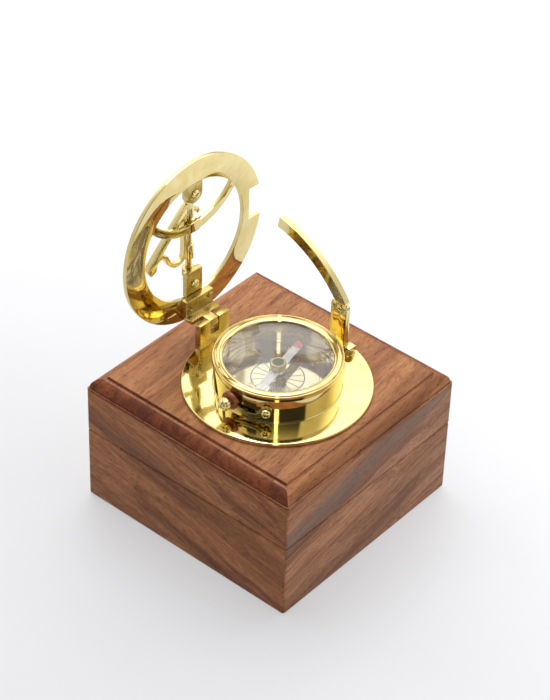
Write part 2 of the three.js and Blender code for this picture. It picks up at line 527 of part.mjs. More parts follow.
// ---------------------------------------------------------------- latitude arc and its post
function makeArc() {
  const half = ARC_T / 2;
  const middle = (POST_Y[0] + POST_Y[1]) / 2;
  const tongueY = [middle - 1.2, middle + 1.2];
  const pinX = POST_X + half;
  const cheek = join(box([POST_X, POST_X + ARC_T], POST_Y, [0, PIN_Z]),
    alongY(rod(half, ...POST_Y, 20)).translate([pinX, 0, PIN_Z]));
  const slot = box([0, 60], [tongueY[0] - 0.15, tongueY[1] + 0.15], [PIN_Z - half - 0.35, 30]);
  const footY = POST_Y[0] - 2.4;
  const foot = box([POST_X + 0.6, POST_X + 4.6], [footY, POST_Y[0] + 1], [0, 3.3]);
  const footHole = alongY(rod(0.85, -30, 0, 12)).translate([pinX, 0, 1.7]);
  const pinHole = alongY(rod(PIN_R + 0.02, -30, 30, 12)).translate([pinX, 0, PIN_Z]);
  part(instrument, 'arc_post', cut(join(cheek, foot), slot, pinHole, footHole, ...underHoles()), 'brass');
  const head = footY - 0.05;
  part(instrument, 'arc_foot_screw', alongY(turned([
    [0, head - 0.9], [1, head - 0.9], [1.3, head - 0.6], [1.3, head], [0.8, head], [0.8, -5.2],
    [0, -5.2]], 16))
    .translate([pinX, 0, 1.7]), 'goldenBrass');
  part(instrument, 'arc_hinge_pin', alongY(rod(PIN_R, ...POST_Y, 12)).translate([pinX, 0, PIN_Z]), 'steel');

  // in the arc's own frame: Y as the instrument's, Z up from the pin, X across the bar
  const bow = sector(ARC_CENTRE[0], ARC_CENTRE[1] - PIN_Z, ARC_IN, ARC_OUT, 180 - ARC_TO, 180 - ARC_FROM);
  const g = new THREE.ExtrudeGeometry(bow, { depth: ARC_T, bevelEnabled: false, curveSegments: 16 });
  const curved = solid(g.rotateX(Math.PI / 2).rotateZ(Math.PI / 2).translate(-half, 0, 0));
  const above = box([-20, 20], [POST_Y[0] + 0.5, 80], [half + 0.2, 80]);
  const tongue = join(box([-half, half], tongueY, [0, 5]), alongY(rod(half, ...tongueY, 20)));
  const bore = alongY(rod(PIN_R + FIT, -30, 30, 12));
  part(arc, 'latitude_arc', cut(join(curved.intersect(above), tongue), bore), 'brass');
}

makeCase();
HINGE_AT.forEach((x, i) => makeCaseHinge(i + 1, x));
makeCompass();
makeNeedle();
makeNeedleLock();
makeDialHinge();
makeRing();
makeLugs();
makeGnomon();
makeArc();

export default sundial;
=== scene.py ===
"""Looks of an inclining pocket sundial with a compass base, standing on its hinged wooden case."""

import json
import math

import bmesh
import bpy
from mathutils import Matrix, Vector
from mathutils.geometry import tessellate_polygon


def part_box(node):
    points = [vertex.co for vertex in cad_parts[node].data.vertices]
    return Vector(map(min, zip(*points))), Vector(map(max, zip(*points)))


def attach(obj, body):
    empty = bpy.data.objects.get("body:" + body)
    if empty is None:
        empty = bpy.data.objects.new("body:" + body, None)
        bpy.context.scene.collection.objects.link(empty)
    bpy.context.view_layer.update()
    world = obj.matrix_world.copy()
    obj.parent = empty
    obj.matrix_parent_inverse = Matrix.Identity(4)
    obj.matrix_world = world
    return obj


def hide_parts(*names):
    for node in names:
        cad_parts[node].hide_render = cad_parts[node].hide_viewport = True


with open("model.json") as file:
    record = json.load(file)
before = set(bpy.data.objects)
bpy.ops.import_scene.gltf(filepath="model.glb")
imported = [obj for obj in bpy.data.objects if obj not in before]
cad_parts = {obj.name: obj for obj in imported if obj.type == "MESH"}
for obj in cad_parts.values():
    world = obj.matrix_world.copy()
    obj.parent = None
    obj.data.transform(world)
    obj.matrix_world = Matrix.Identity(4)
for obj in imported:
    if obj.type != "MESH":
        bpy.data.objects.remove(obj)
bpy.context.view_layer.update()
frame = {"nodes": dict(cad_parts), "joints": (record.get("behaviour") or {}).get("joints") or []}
MM = 0.001
joints = {j["name"]: j for j in frame["joints"]}

# ---------------------------------------------------------------- camera
VIEW_AZIMUTH, VIEW_ELEVATION, VIEW_ROLL = 219.55, 38.92, 2.03   # degrees
VIEW_FROM = (-0.5577, -0.4621, 0.6582)   # metres
LENS, SENSOR = 121.86, 36     # mm


def make_camera():
    az, el, roll = map(math.radians, (VIEW_AZIMUTH, VIEW_ELEVATION, VIEW_ROLL))
    back = Vector((math.cos(el) * math.cos(az), math.cos(el) * math.sin(az), math.sin(el)))
    level = Vector((-math.sin(az), math.cos(az), 0))
    right = math.cos(roll) * level + math.sin(roll) * back.cross(level)
    turn = Matrix((right, back.cross(right), back)).transposed().to_4x4()
    camera = bpy.data.objects.new("camera", bpy.data.cameras.new("camera"))
    camera.data.lens = LENS
    camera.data.sensor_width = SENSOR
    camera.matrix_world = Matrix.Translation(VIEW_FROM) @ turn
    bpy.context.scene.collection.objects.link(camera)
    bpy.context.scene.camera = camera


make_camera()

# ---------------------------------------------------------------- frames of reference, in mm
def shift(*by):
    return Matrix.Translation(by)


def spun(degrees):
    """A turn about Z."""
    return Matrix.Rotation(math.radians(degrees), 4, "Z")


plate_low, plate_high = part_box("base_plate")
hinge_axis = Vector(joints["dial_hinge"]["axis"])
DIAL_TURN = math.atan2(hinge_axis.y, hinge_axis.x)
CASE = Matrix.Scale(MM, 4)
plate_middle = (plate_low + plate_high) / 2
INSTRUMENT = (shift(plate_middle.x, plate_middle.y, plate_high.z)
              @ Matrix.Rotation(DIAL_TURN, 4, "Z") @ CASE)
HINGE_Y, HINGE_Z = 36.8, 9.2      # the dial's hinge, from the middle of the plate's top
RING_UP, AXLE_BACK = 35.3, 13.2   # the ring's centre and the gnomon's axle, from that hinge
POST_X, PIN_Z = 32.3, 22.1        # the arc's post and its hinge pin
DIAL = INSTRUMENT @ shift(0, HINGE_Y, HINGE_Z)
RING_CENTRE = DIAL @ shift(0, 0, RING_UP)
AXLE = DIAL @ shift(0, AXLE_BACK, RING_UP)
ARC = INSTRUMENT @ shift(POST_X, 0, PIN_Z)
ALONG_X = Matrix.Rotation(math.pi / 2, 4, "Y")
ALONG_Y = Matrix.Rotation(-math.pi / 2, 4, "X")


def outwards(degrees, height):
    """Lays what stands along +Z down, pointing out from the compass axis."""
    return shift(0, 0, height) @ spun(degrees) @ ALONG_X


# ---------------------------------------------------------------- shapes: (points, faces) in mm
def eased(points, r=0.15, steps=3, closed=False):
    """Rounds the corners of a profile or an outline."""
    out = []
    for i, p in enumerate(points):
        if not closed and i in (0, len(points) - 1):
            out.append(tuple(p))
            continue
        p = Vector(p)
        a, b = Vector(points[i - 1]) - p, Vector(points[(i + 1) % len(points)]) - p
        half = a.angle(b) / 2
        if half > math.radians(86) or half < math.radians(4):
            out.append(tuple(p))
            continue
        cut = min(r / math.tan(half), 0.45 * a.length, 0.45 * b.length)
        start, end = p + a.normalized() * cut, p + b.normalized() * cut
        for k in range(steps + 1):
            t = k / steps
            out.append(tuple(start * (1 - t) ** 2 + p * 2 * t * (1 - t) + end * t * t))
    return out


def lathe(profile, sides=96, closed=False):
    """Revolves (radius, height) points about Z."""
    points, faces, rows = [], [], []
    for r, z in profile:
        count = 1 if r < 1e-6 else sides
        rows.append(range(len(points), len(points) + count))
        turns = [2 * math.pi * i / sides for i in range(count)]
        points += [(r * math.cos(t), r * math.sin(t), z) for t in turns]
    for a, b in zip(rows, rows[1:] + (rows[:1] if closed else [])):
        for i in range(sides if max(len(a), len(b)) > 1 else 0):
            j = (i + 1) % sides
            face = [a[i % len(a)], a[j % len(a)], b[j % len(b)], b[i % len(b)]]
            faces.append(tuple(dict.fromkeys(face)))
    return points, faces


def inset(outline, by):
    """Moves an outline in towards the material, which lies to its left."""
    out = []
    for i, p in enumerate(outline):
        p = Vector(p)
        before = (p - Vector(outline[i - 1])).normalized()
        after = (Vector(outline[(i + 1) % len(outline)]) - p).normalized()
        n1, n2 = Vector((-before.y, before.x)), Vector((-after.y, after.x))
        out.append(tuple(p + (n1 + n2) * by / max(0.3, 1 + n1.dot(n2))))
    return out


def sheet_metal(outlines, y0, y1, ease=0.15):
    """A flat piece cut from sheet: the outside runs anticlockwise in X and Z, and holes run clockwise."""
    bend = [(ease * (1 - math.sin(a)), ease * (1 - math.cos(a))) for a in map(math.radians, (0, 30, 60, 90))]
    levels = [(y0 + up, by) for by, up in bend] + [(y1 - up, by) for by, up in reversed(bend)]
    points, faces, ends = [], [], [[], []]
    for outline in outlines:
        n = len(outline)
        first = len(points)
        for y, by in levels:
            points += [(x, y, z) for x, z in inset(outline, by)]
        for k in range(len(levels) - 1):
            a = first + k * n
            faces += [(a + i, a + (i + 1) % n, a + n + (i + 1) % n, a + n + i) for i in range(n)]
        ends[0] += range(first, first + n)
        ends[1] += range(first + (len(levels) - 1) * n, first + len(levels) * n)
    flat = [[Vector((x, z, 0)) for x, z in inset(o, ease)] for o in outlines]
    for triangle in tessellate_polygon(flat):
        faces += [tuple(end[i] for i in triangle) for end in ends]
    return points, faces


def arc_points(cx, cz, r, start, stop, steps):
    turns = [math.radians(start + (stop - start) * i / steps) for i in range(steps + 1)]
    return [(cx + r * math.cos(t), cz + r * math.sin(t)) for t in turns]


def block(low, high, ease=0.15):
    """A box with eased edges."""
    x0, y0, z0 = low
    x1, y1, z1 = high
    return sheet_metal([eased([(x0, z0), (x1, z0), (x1, z1), (x0, z1)], ease, 3, True)], y0, y1, ease)


def moved(shape, place):
    return [tuple(place @ Vector(p)) for p in shape[0]], shape[1]


def together(*shapes):
    points, faces = [], []
    for p, f in shapes:
        faces += [tuple(i + len(points) for i in face) for face in f]
        points += p
    return points, faces


# ---------------------------------------------------------------- pieces
CREASE = 20   # degrees: faces that meet at less than this are shaded as one surface


def mesh_of(name, shape, place):
    mesh = bpy.data.meshes.new(name)
    mesh.from_pydata([place @ Vector(p) for p in shape[0]], [], shape[1])
    tidy_mesh(mesh)
    return mesh


def tidy_mesh(mesh, crease=CREASE):
    bm = bmesh.new()
    bm.from_mesh(mesh)
    bmesh.ops.remove_doubles(bm, verts=bm.verts, dist=2e-7)
    bmesh.ops.recalc_face_normals(bm, faces=bm.faces)
    bm.to_mesh(mesh)
    bm.free()
    mesh.shade_smooth()
    mesh.set_sharp_from_angle(angle=math.radians(crease))


def combine(obj, shape, place, how):
    """Cuts a shape out of a piece, or joins it on."""
    tool = bpy.data.objects.new("tool", mesh_of("tool", shape, place))
    bpy.context.scene.collection.objects.link(tool)
    change = obj.modifiers.new("change", "BOOLEAN")
    change.operation = how
    change.solver = "EXACT"
    change.object = tool
    bpy.context.view_layer.update()
    result = bpy.data.meshes.new_from_object(obj.evaluated_get(bpy.context.evaluated_depsgraph_get()))
    obj.modifiers.clear()
    obj.data = result
    bpy.data.objects.remove(tool)
    tidy_mesh(obj.data)


def piece(name, shape, place, body, looks, replaces=(), cuts=(), joins=()):
    obj = bpy.data.objects.new(name, mesh_of(name, shape, place))
    bpy.context.scene.collection.objects.link(obj)
    for more in joins:
        combine(obj, more, place, "UNION")
    for tool in cuts:
        combine(obj, tool, place, "DIFFERENCE")
    return dressed(obj, body, looks, replaces)


def dressed(obj, body, looks, replaces):
    obj.data.materials.clear()
    for look in looks if isinstance(looks, list) else [looks]:
        obj.data.materials.append(look)
    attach(obj, body)
    if replaces:
        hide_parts(*replaces)
    return obj


def polished(solid, body, look, ease=0.14, crease=32):
    """The CAD solid itself with its sharp edges eased, as hand filing leaves them."""
    source = frame["nodes"][solid]
    obj = bpy.data.objects.new(solid + "_filed", source.data.copy())
    bpy.context.scene.collection.objects.link(obj)
    bm = bmesh.new()
    bm.from_mesh(obj.data)
    bmesh.ops.remove_doubles(bm, verts=bm.verts, dist=2e-6)
    bmesh.ops.dissolve_limit(bm, angle_limit=math.radians(0.6), verts=bm.verts, edges=bm.edges)
    bmesh.ops.recalc_face_normals(bm, faces=bm.faces)
    sharp = [e for e in bm.edges if len(e.link_faces) == 2 and e.calc_face_angle(0) > math.radians(38)]
    bmesh.ops.bevel(bm, geom=sharp, offset=ease * MM, segments=2, profile=0.6, affect="EDGES",
                    clamp_overlap=False)
    bm.to_mesh(obj.data)
    bm.free()
    tidy_mesh(obj.data, crease)
    return dressed(obj, body, look, [solid])


def by_facing(obj, pick):
    """Gives each face the material number that pick says for its middle and normal."""
    for face in obj.data.polygons:
        face.material_index = pick(face.center, face.normal)


# ---------------------------------------------------------------- material nodes
def node(tree, kind, inputs=None, **settings):
    n = tree.nodes.new("ShaderNode" + kind)
    for key, value in settings.items():
        setattr(n, key, value)
    for key, value in (inputs or {}).items():
        if isinstance(value, bpy.types.NodeSocket):
            tree.links.new(value, n.inputs[key])
        else:
            n.inputs[key].default_value = value
    return n


def surface(name, **constants):
    """A new material: its tree and its main shader, with the constants set on it."""
    mat = bpy.data.materials.new(name)
    mat.use_nodes = True
    tree = mat.node_tree
    tree.nodes.clear()
    shader = node(tree, "BsdfPrincipled", {k.replace("_", " "): v for k, v in constants.items()})
    out = node(tree, "OutputMaterial")
    tree.links.new(shader.outputs[0], out.inputs[0])
    return mat, tree, shader


def place_of(tree, scale=(1, 1, 1), turn=(0, 0, 0), centre=(0, 0, 0)):
    """Position on the object in mm, turned and stretched."""
    at = node(tree, "TexCoord").outputs["Object"]
    near = node(tree, "VectorMath", {0: at, 1: centre}, operation="SUBTRACT").outputs[0]
    mm = node(tree, "Mapping", {0: near, "Rotation": turn, "Scale": (1000, 1000, 1000)}).outputs[0]
    return node(tree, "VectorMath", {0: mm, 1: scale}, operation="MULTIPLY").outputs[0]


def noise(tree, at, scale, detail=3, rough=0.5, warp=0):
    n = node(tree, "TexNoise", {"Vector": at, "Scale": scale, "Detail": detail, "Roughness": rough,
                                "Distortion": warp})
    return n.outputs["Fac"]


def ramp(tree, value, stops):
    n = node(tree, "ValToRGB", {0: value})
    band = n.color_ramp
    while len(band.elements) < len(stops):
        band.elements.new(0.5)
    for element, (at, colour) in zip(band.elements, stops):
        element.position = at
        element.color = (*colour, 1) if isinstance(colour, tuple) else (colour, colour, colour, 1)
    return n.outputs[0]


def mixed(tree, amount, a, b):
    """Colour a, or colour b where the amount is 1."""
    n = node(tree, "Mix", {0: amount}, data_type="RGBA")
    for key, value in ((6, a), (7, b)):
        if isinstance(value, bpy.types.NodeSocket):
            tree.links.new(value, n.inputs[key])
        else:
            n.inputs[key].default_value = (*value, 1)
    return n.outputs[2]


def sums(tree, how, a, b=0.0, clamp=False):
    return node(tree, "Math", {0: a, 1: b}, operation=how, use_clamp=clamp).outputs[0]


def fade(tree, value, low, high, first=0.0, last=1.0):
    """Goes from first to last as the value goes from low to high."""
    return node(tree, "MapRange", {0: value, 1: low, 2: high, 3: first, 4: last},
                interpolation_type="SMOOTHSTEP").outputs[0]


def bumped(tree, shader, height, depth):
    """depth is the height in metres of the whole range of the height value."""
    bump = node(tree, "Bump", {"Height": height, "Distance": depth, "Strength": 1.0})
    tree.links.new(bump.outputs[0], shader.inputs["Normal"])


# ---------------------------------------------------------------- metals
AXIS_SPOT = (INSTRUMENT.translation.x, INSTRUMENT.translation.y, 0)


def brass(name, bright, deep, smooth, rough, turned=None, wave=3e-6):
    """Polished brass with tarnish in soft patches, hairline scratches, and marks from turning."""
    mat, tree, shader = surface(name, Metallic=1.0)
    at = place_of(tree)
    patch = noise(tree, at, 0.09, 4, 0.6, 0.6)
    specks = noise(tree, at, 1.3, 4, 0.65)
    tone = ramp(tree, patch, [(0.36, deep), (0.58, bright)])
    spots = ramp(tree, specks, [(0.62, 0.0), (0.74, 0.55)])
    tree.links.new(mixed(tree, spots, tone, deep), shader.inputs["Base Color"])
    hair = [noise(tree, place_of(tree, scale, turn), 1.0, 2, 0.6) for scale, turn in (
        ((0.12, 9, 9), (0.2, 0.1, 0.5)), ((9, 0.15, 9), (0.1, 0.4, 0.2)), ((8, 8, 0.15), (0.3, 0.1, 0.9)))]
    lines = sums(tree, "ADD", ramp(tree, hair[0], [(0.6, 0.0), (0.75, 1.0)]),
                 ramp(tree, sums(tree, "MAXIMUM", hair[1], hair[2]), [(0.66, 0.0), (0.8, 1.0)]), True)
    gloss = ramp(tree, noise(tree, at, 0.25, 5, 0.7), [(0.3, smooth), (0.75, rough)])
    tree.links.new(sums(tree, "ADD", gloss, sums(tree, "MULTIPLY", lines, 0.1)), shader.inputs["Roughness"])
    height = noise(tree, at, 0.16, 2)
    if turned:
        rings = node(tree, "TexWave", {"Vector": place_of(tree, centre=AXIS_SPOT), "Scale": turned,
                                       "Distortion": 0.6, "Detail": 2.0},
                     wave_type="RINGS", rings_direction="Z").outputs["Fac"]
        height = sums(tree, "ADD", height, sums(tree, "MULTIPLY", rings, 0.02))
    height = sums(tree, "SUBTRACT", height, sums(tree, "MULTIPLY", lines, 0.03))
    bumped(tree, shader, height, wave)
    return mat


BRIGHT = (0.80, 0.68, 0.32)
DEEP = (0.74, 0.60, 0.235)
polished_brass = brass("brass_polished", BRIGHT, DEEP, 0.03, 0.08, wave=1.6e-5)
turned_brass = brass("brass_turned", BRIGHT, DEEP, 0.03, 0.09, turned=0.7, wave=7e-6)
fine_brass = brass("brass_fittings", (0.58, 0.45, 0.165), (0.43, 0.315, 0.10), 0.20, 0.34, wave=2e-5)
card_brass = brass("brass_card", (0.84, 0.77, 0.53), (0.78, 0.70, 0.45), 0.05, 0.12, turned=1.0, wave=4e-6)
satin_wall = brass("bowl_wall_satin", (0.90, 0.82, 0.66), (0.83, 0.74, 0.57), 0.07, 0.13, wave=4e-6)
bezel_brass = brass("brass_bezel", (0.70, 0.565, 0.275), (0.63, 0.49, 0.205),
                    0.04, 0.10, turned=0.7, wave=7e-6)
ring_brass = brass("brass_ring", (0.73, 0.615, 0.305), (0.66, 0.53, 0.22), 0.03, 0.08, wave=1.6e-5)
bar_brass = brass("brass_bars", BRIGHT, DEEP, 0.05, 0.12, wave=4e-6)
# nearly black brass is painted shade: the lifter and the sheet behind the slot read as the dark inside of the
# bowl
painted_shade_brass = brass("brass_painted_shade", (0.13, 0.085, 0.04), (0.06, 0.036, 0.016), 0.3, 0.5, wave=2e-5)
case_brass = brass("brass_case_fittings", (0.82, 0.60, 0.26), (0.50, 0.32, 0.12), 0.22, 0.4, wave=4e-5)


def dull_metal(name, light, dark, roughness, metallic=1.0):
    mat, tree, shader = surface(name, Metallic=metallic)
    at = place_of(tree)
    tree.links.new(ramp(tree, noise(tree, at, 0.8, 5, 0.65), [(0.35, dark), (0.65, light)]),
                   shader.inputs["Base Color"])
    tree.links.new(ramp(tree, noise(tree, at, 2.5, 4), [(0.3, roughness), (0.7, roughness + 0.2)]),
                   shader.inputs["Roughness"])
    bumped(tree, shader, noise(tree, at, 4.0, 4), 3e-5)
    return mat


steel = dull_metal("steel_pin", (0.55, 0.54, 0.52), (0.30, 0.29, 0.27), 0.22)
copper = dull_metal("copper_washer", (0.42, 0.16, 0.10), (0.17, 0.06, 0.045), 0.35, 0.85)
engraved = dull_metal("engraving_wax", (0.050, 0.042, 0.035), (0.012, 0.010, 0.009), 0.45, 0.0)
card_lines = dull_metal("card_engraving", (0.13, 0.09, 0.035), (0.05, 0.035, 0.015), 0.35, 0.4)
gilt = dull_metal("card_gilding", (0.85, 0.47, 0.08), (0.62, 0.30, 0.04), 0.3, 0.25)


# ---------------------------------------------------------------- paint, glass, stone, cloth
def enamel(name, light, dark):
    mat, tree, shader = surface(name, Coat_Weight=0.3, Coat_Roughness=0.15)
    at = place_of(tree)
    tree.links.new(ramp(tree, noise(tree, at, 0.6, 4, 0.6), [(0.3, dark), (0.6, light)]),
                   shader.inputs["Base Color"])
    tree.links.new(ramp(tree, noise(tree, at, 3.0, 3), [(0.3, 0.25), (0.7, 0.45)]),
                   shader.inputs["Roughness"])
    bumped(tree, shader, noise(tree, at, 1.5, 3), 2e-5)
    return mat


white_paint = enamel("needle_white", (0.84, 0.84, 0.84), (0.66, 0.66, 0.65))
red_paint = enamel("needle_red", (0.72, 0.10, 0.12), (0.50, 0.05, 0.07))


def jewel():
    mat, tree, shader = surface("green_jewel", Roughness=0.25, Specular_IOR_Level=0.06)
    at = place_of(tree)
    cloud = noise(tree, at, 0.9, 4, 0.6, 1.0)
    tree.links.new(ramp(tree, cloud, [(0.3, (0.001, 0.022, 0.010)), (0.7, (0.004, 0.060, 0.030))]),
                   shader.inputs["Base Color"])
    bumped(tree, shader, noise(tree, at, 0.5, 1), 2e-5)
    return mat


def pane():
    """Thin clear glass with a little dust, which lets light straight through."""
    mat, tree, _ = surface("watch_glass")
    tree.nodes.clear()
    at = place_of(tree)
    clear = node(tree, "BsdfTransparent", {0: (0.95, 0.955, 0.96, 1)})
    sheen = node(tree, "BsdfGlossy", {"Color": (1.0, 0.97, 0.93, 1), "Roughness": 0.015})
    wave = node(tree, "Bump", {"Height": noise(tree, at, 0.12, 2), "Distance": 1e-5})
    tree.links.new(wave.outputs[0], sheen.inputs["Normal"])
    facing = node(tree, "LayerWeight", {"Blend": 0.5}).outputs["Facing"]
    edge = sums(tree, "MULTIPLY", sums(tree, "POWER", facing, 3.0), 0.75)
    edge = sums(tree, "ADD", edge, 0.02)
    glass = node(tree, "MixShader", {0: edge, 1: clear.outputs[0], 2: sheen.outputs[0]})
    dust = node(tree, "BsdfDiffuse", {"Color": (0.88, 0.82, 0.76, 1)})
    speck = ramp(tree, noise(tree, at, 0.22, 6, 0.75), [(0.3, 0.05), (0.8, 0.125)])
    final = node(tree, "MixShader", {0: speck, 1: glass.outputs[0], 2: dust.outputs[0]})
    out = node(tree, "OutputMaterial")
    tree.links.new(final.outputs[0], out.inputs[0])
    return mat


def velvet():
    mat, tree, shader = surface("green_velvet", Roughness=0.9, Sheen_Weight=0.7, Sheen_Roughness=0.35)
    shader.inputs["Sheen Tint"].default_value = (0.25, 0.6, 0.45, 1)
    at = place_of(tree)
    nap = noise(tree, at, 0.12, 3, 0.6, 0.8)
    pile = noise(tree, at, 6.0, 3, 0.7)
    tone = ramp(tree, nap, [(0.35, (0.006, 0.030, 0.020)), (0.65, (0.016, 0.065, 0.042))])
    tone = mixed(tree, sums(tree, "MULTIPLY", pile, 0.6), tone, (0.003, 0.012, 0.008))
    tree.links.new(tone, shader.inputs["Base Color"])
    bumped(tree, shader, pile, 2e-4)
    return mat


green_jewel = jewel()
watch_glass = pane()
lining = velvet()


# ---------------------------------------------------------------- wood
def wood(name, turn, light, mid, dark, seed, streak=1.0, end_grain=False, painted_reflection_band=None):
    """Oiled rosewood. turn lays the grain, which runs along the mapped X, in the board."""
    mat, tree, shader = surface(name, Coat_Weight=0.04, Coat_Roughness=0.3, Specular_IOR_Level=0.13)
    stretch = (0.5, 1, 1) if end_grain else (0.055, 1, 1)
    where = place_of(tree, stretch, turn, centre=(seed, seed / 3, seed / 7))
    slow = place_of(tree, (0.012, 0.05, 0.05), turn, centre=(seed, seed / 3, seed / 7))
    drift = noise(tree, slow, 1.0, 3, 0.55, 0.3)
    bent = node(tree, "VectorMath", {0: where, 1: sums(tree, "MULTIPLY", drift, 22.0)},
                operation="ADD").outputs[0]
    rings = noise(tree, bent, 0.16, 4, 0.6, 0.35)
    fibre = noise(tree, bent, 1.5, 4, 0.65)
    tone = ramp(tree, rings, [(0.28, dark), (0.43, mid), (0.57, light), (0.72, mid)])
    tone = mixed(tree, ramp(tree, fibre, [(0.36, 0.46 * streak), (0.58, 0.0)]), tone, dark)
    lines = noise(tree, bent, 0.5, 3, 0.6)
    tone = mixed(tree, ramp(tree, lines, [(0.52, 0.0), (0.64, 0.42 * streak)]), tone, dark)
    bands = noise(tree, bent, 0.06, 3, 0.5, 0.2)
    tone = mixed(tree, ramp(tree, bands, [(0.50, 0.0), (0.66, 0.55 * streak)]), tone, dark)
    if painted_reflection_band:
        # painted reflection: a ragged grey band across the wall, standing in for a haze reflection
        level, slope, half = painted_reflection_band
        spot = place_of(tree)
        x, _, z = node(tree, "SeparateXYZ", {0: spot}).outputs
        line = sums(tree, "SUBTRACT", sums(tree, "SUBTRACT", z, level), sums(tree, "MULTIPLY", x, slope))
        ragged = sums(tree, "MULTIPLY", sums(tree, "SUBTRACT", noise(tree, bent, 0.5, 4, 0.6), 0.5), 14.0)
        off = sums(tree, "ABSOLUTE", sums(tree, "ADD", line, ragged))
        reflection_band_mask = fade(tree, off, half * 0.4, half * 1.3, 0.75, 0.0)
        tone = mixed(tree, reflection_band_mask, tone, (0.185, 0.118, 0.088))
    pore_at = place_of(tree, (1.6, 2.6, 2.6) if end_grain else (0.33, 2.6, 2.6), turn, centre=(seed, 0, 0))
    pores = ramp(tree, noise(tree, pore_at, 1.15, 2, 0.5), [(0.60, 0.0), (0.68, 1.0)])
    tone = mixed(tree, sums(tree, "MULTIPLY", pores, 0.55), tone, (0.045, 0.014, 0.008))
    pointiness_for_painted_light = node(tree, "NewGeometry").outputs["Pointiness"]
    # painted highlight along sharp edges, partly rubbed wear: lighter where the surface is pointed
    tone = mixed(tree, ramp(tree, pointiness_for_painted_light, [(0.55, 0.0), (0.66, 0.2)]), tone, (0.50, 0.23, 0.11))
    # painted shade in creases, grooves and the moulding's inner step: darker where the surface is hollow
    tone = mixed(tree, ramp(tree, pointiness_for_painted_light, [(0.42, 0.85), (0.485, 0.0)]), tone, (0.06, 0.022, 0.012))
    tree.links.new(tone, shader.inputs["Base Color"])
    rough = ramp(tree, noise(tree, where, 0.6, 4), [(0.3, 0.34), (0.7, 0.52)])
    tree.links.new(sums(tree, "ADD", rough, sums(tree, "MULTIPLY", pores, 0.25)), shader.inputs["Roughness"])
    height = sums(tree, "SUBTRACT", sums(tree, "MULTIPLY", fibre, 0.35), pores)
    bumped(tree, shader, height, 6e-5)
    return mat


ALONG_X_GRAIN = (0, 0, 0)
ALONG_Y_GRAIN = (0, 0, math.radians(-90))
side_turn = (math.radians(-11), 0, math.radians(-90))
wood_side = wood("wood_side_walls", side_turn, (0.42, 0.172, 0.066), (0.31, 0.118, 0.043),
                 (0.115, 0.035, 0.015), 0.11, 1.15)
# the end walls carry a painted grey reflection band at 47 mm, sloping with X
wood_front = wood("wood_end_walls", (0, math.radians(9), 0), (0.50, 0.240, 0.122), (0.36, 0.152, 0.068),
                  (0.150, 0.056, 0.028), 0.37, 1.1, painted_reflection_band=(47, 0.2, 6))
wood_top = wood("wood_lid_board", (0, 0, math.radians(-4)), (0.48, 0.215, 0.086), (0.385, 0.152, 0.055),
                (0.16, 0.053, 0.021), 0.73, 0.85)
wood_end = wood("wood_end_grain", ALONG_X_GRAIN, (0.27, 0.074, 0.024), (0.175, 0.044, 0.014),
                (0.065, 0.014, 0.006), 0.53, 0.9, True)
wood_floor = wood("wood_floor_board", ALONG_Y_GRAIN, (0.36, 0.165, 0.080), (0.27, 0.112, 0.052),
                  (0.105, 0.040, 0.021), 0.91, 0.8)

# ---------------------------------------------------------------- wooden case
CASE_W, CASE_D, CASE_H = 102, 105, 61
PARTING, LID_TOP, WALL, FLOOR_T = 34.4, 54.7, 8, 6
CORNER = 1.3
HINGE_X = (-28, 28)


def rim(by, z, corner):
    """A rectangle with rounded corners, moved in from the outside of the case."""
    w, d = CASE_W / 2 - by, CASE_D / 2 - by
    r = max(corner - by, 0.25)
    loop = []
    for sx, sy, start in ((1, 1, 0), (-1, 1, 90), (-1, -1, 180), (1, -1, 270)):
        loop += [(x, y, z) for x, y in arc_points(sx * (w - r), sy * (d - r), r, start, start + 90, 6)]
    return loop


def framed(profile, closed=True, corner=CORNER):
    """Carries a profile of (distance in, height) round the case."""
    points, faces = [], []
    loops = [rim(by, z, corner) for by, z in profile]
    n = len(loops[0])
    for loop in loops:
        points += loop
    for k in range(len(loops) if closed else len(loops) - 1):
        a, b = k * n, (k + 1) % len(loops) * n
        faces += [(a + i, a + (i + 1) % n, b + (i + 1) % n, b + i) for i in range(n)]
    if not closed:
        faces += [tuple(range(n)), tuple(range(len(points) - n, len(points)))]
    return points, faces


def wall_of(centre, normal):
    """0 for the walls across X, 1 for the walls across Y."""
    if abs(abs(normal.x) - abs(normal.y)) > 0.3:
        return 0 if abs(normal.x) > abs(normal.y) else 1
    return 0 if abs(centre.x) * CASE_D > abs(centre.y) * CASE_W else 1


def mortise(x):
    """The space that a hinge is let into."""
    back, half, tall = CASE_D / 2 - WALL + 0.55, 10.05, 1.15
    return block((x - half, back, PARTING - tall), (x + half, CASE_D, PARTING + tall), 0.02)


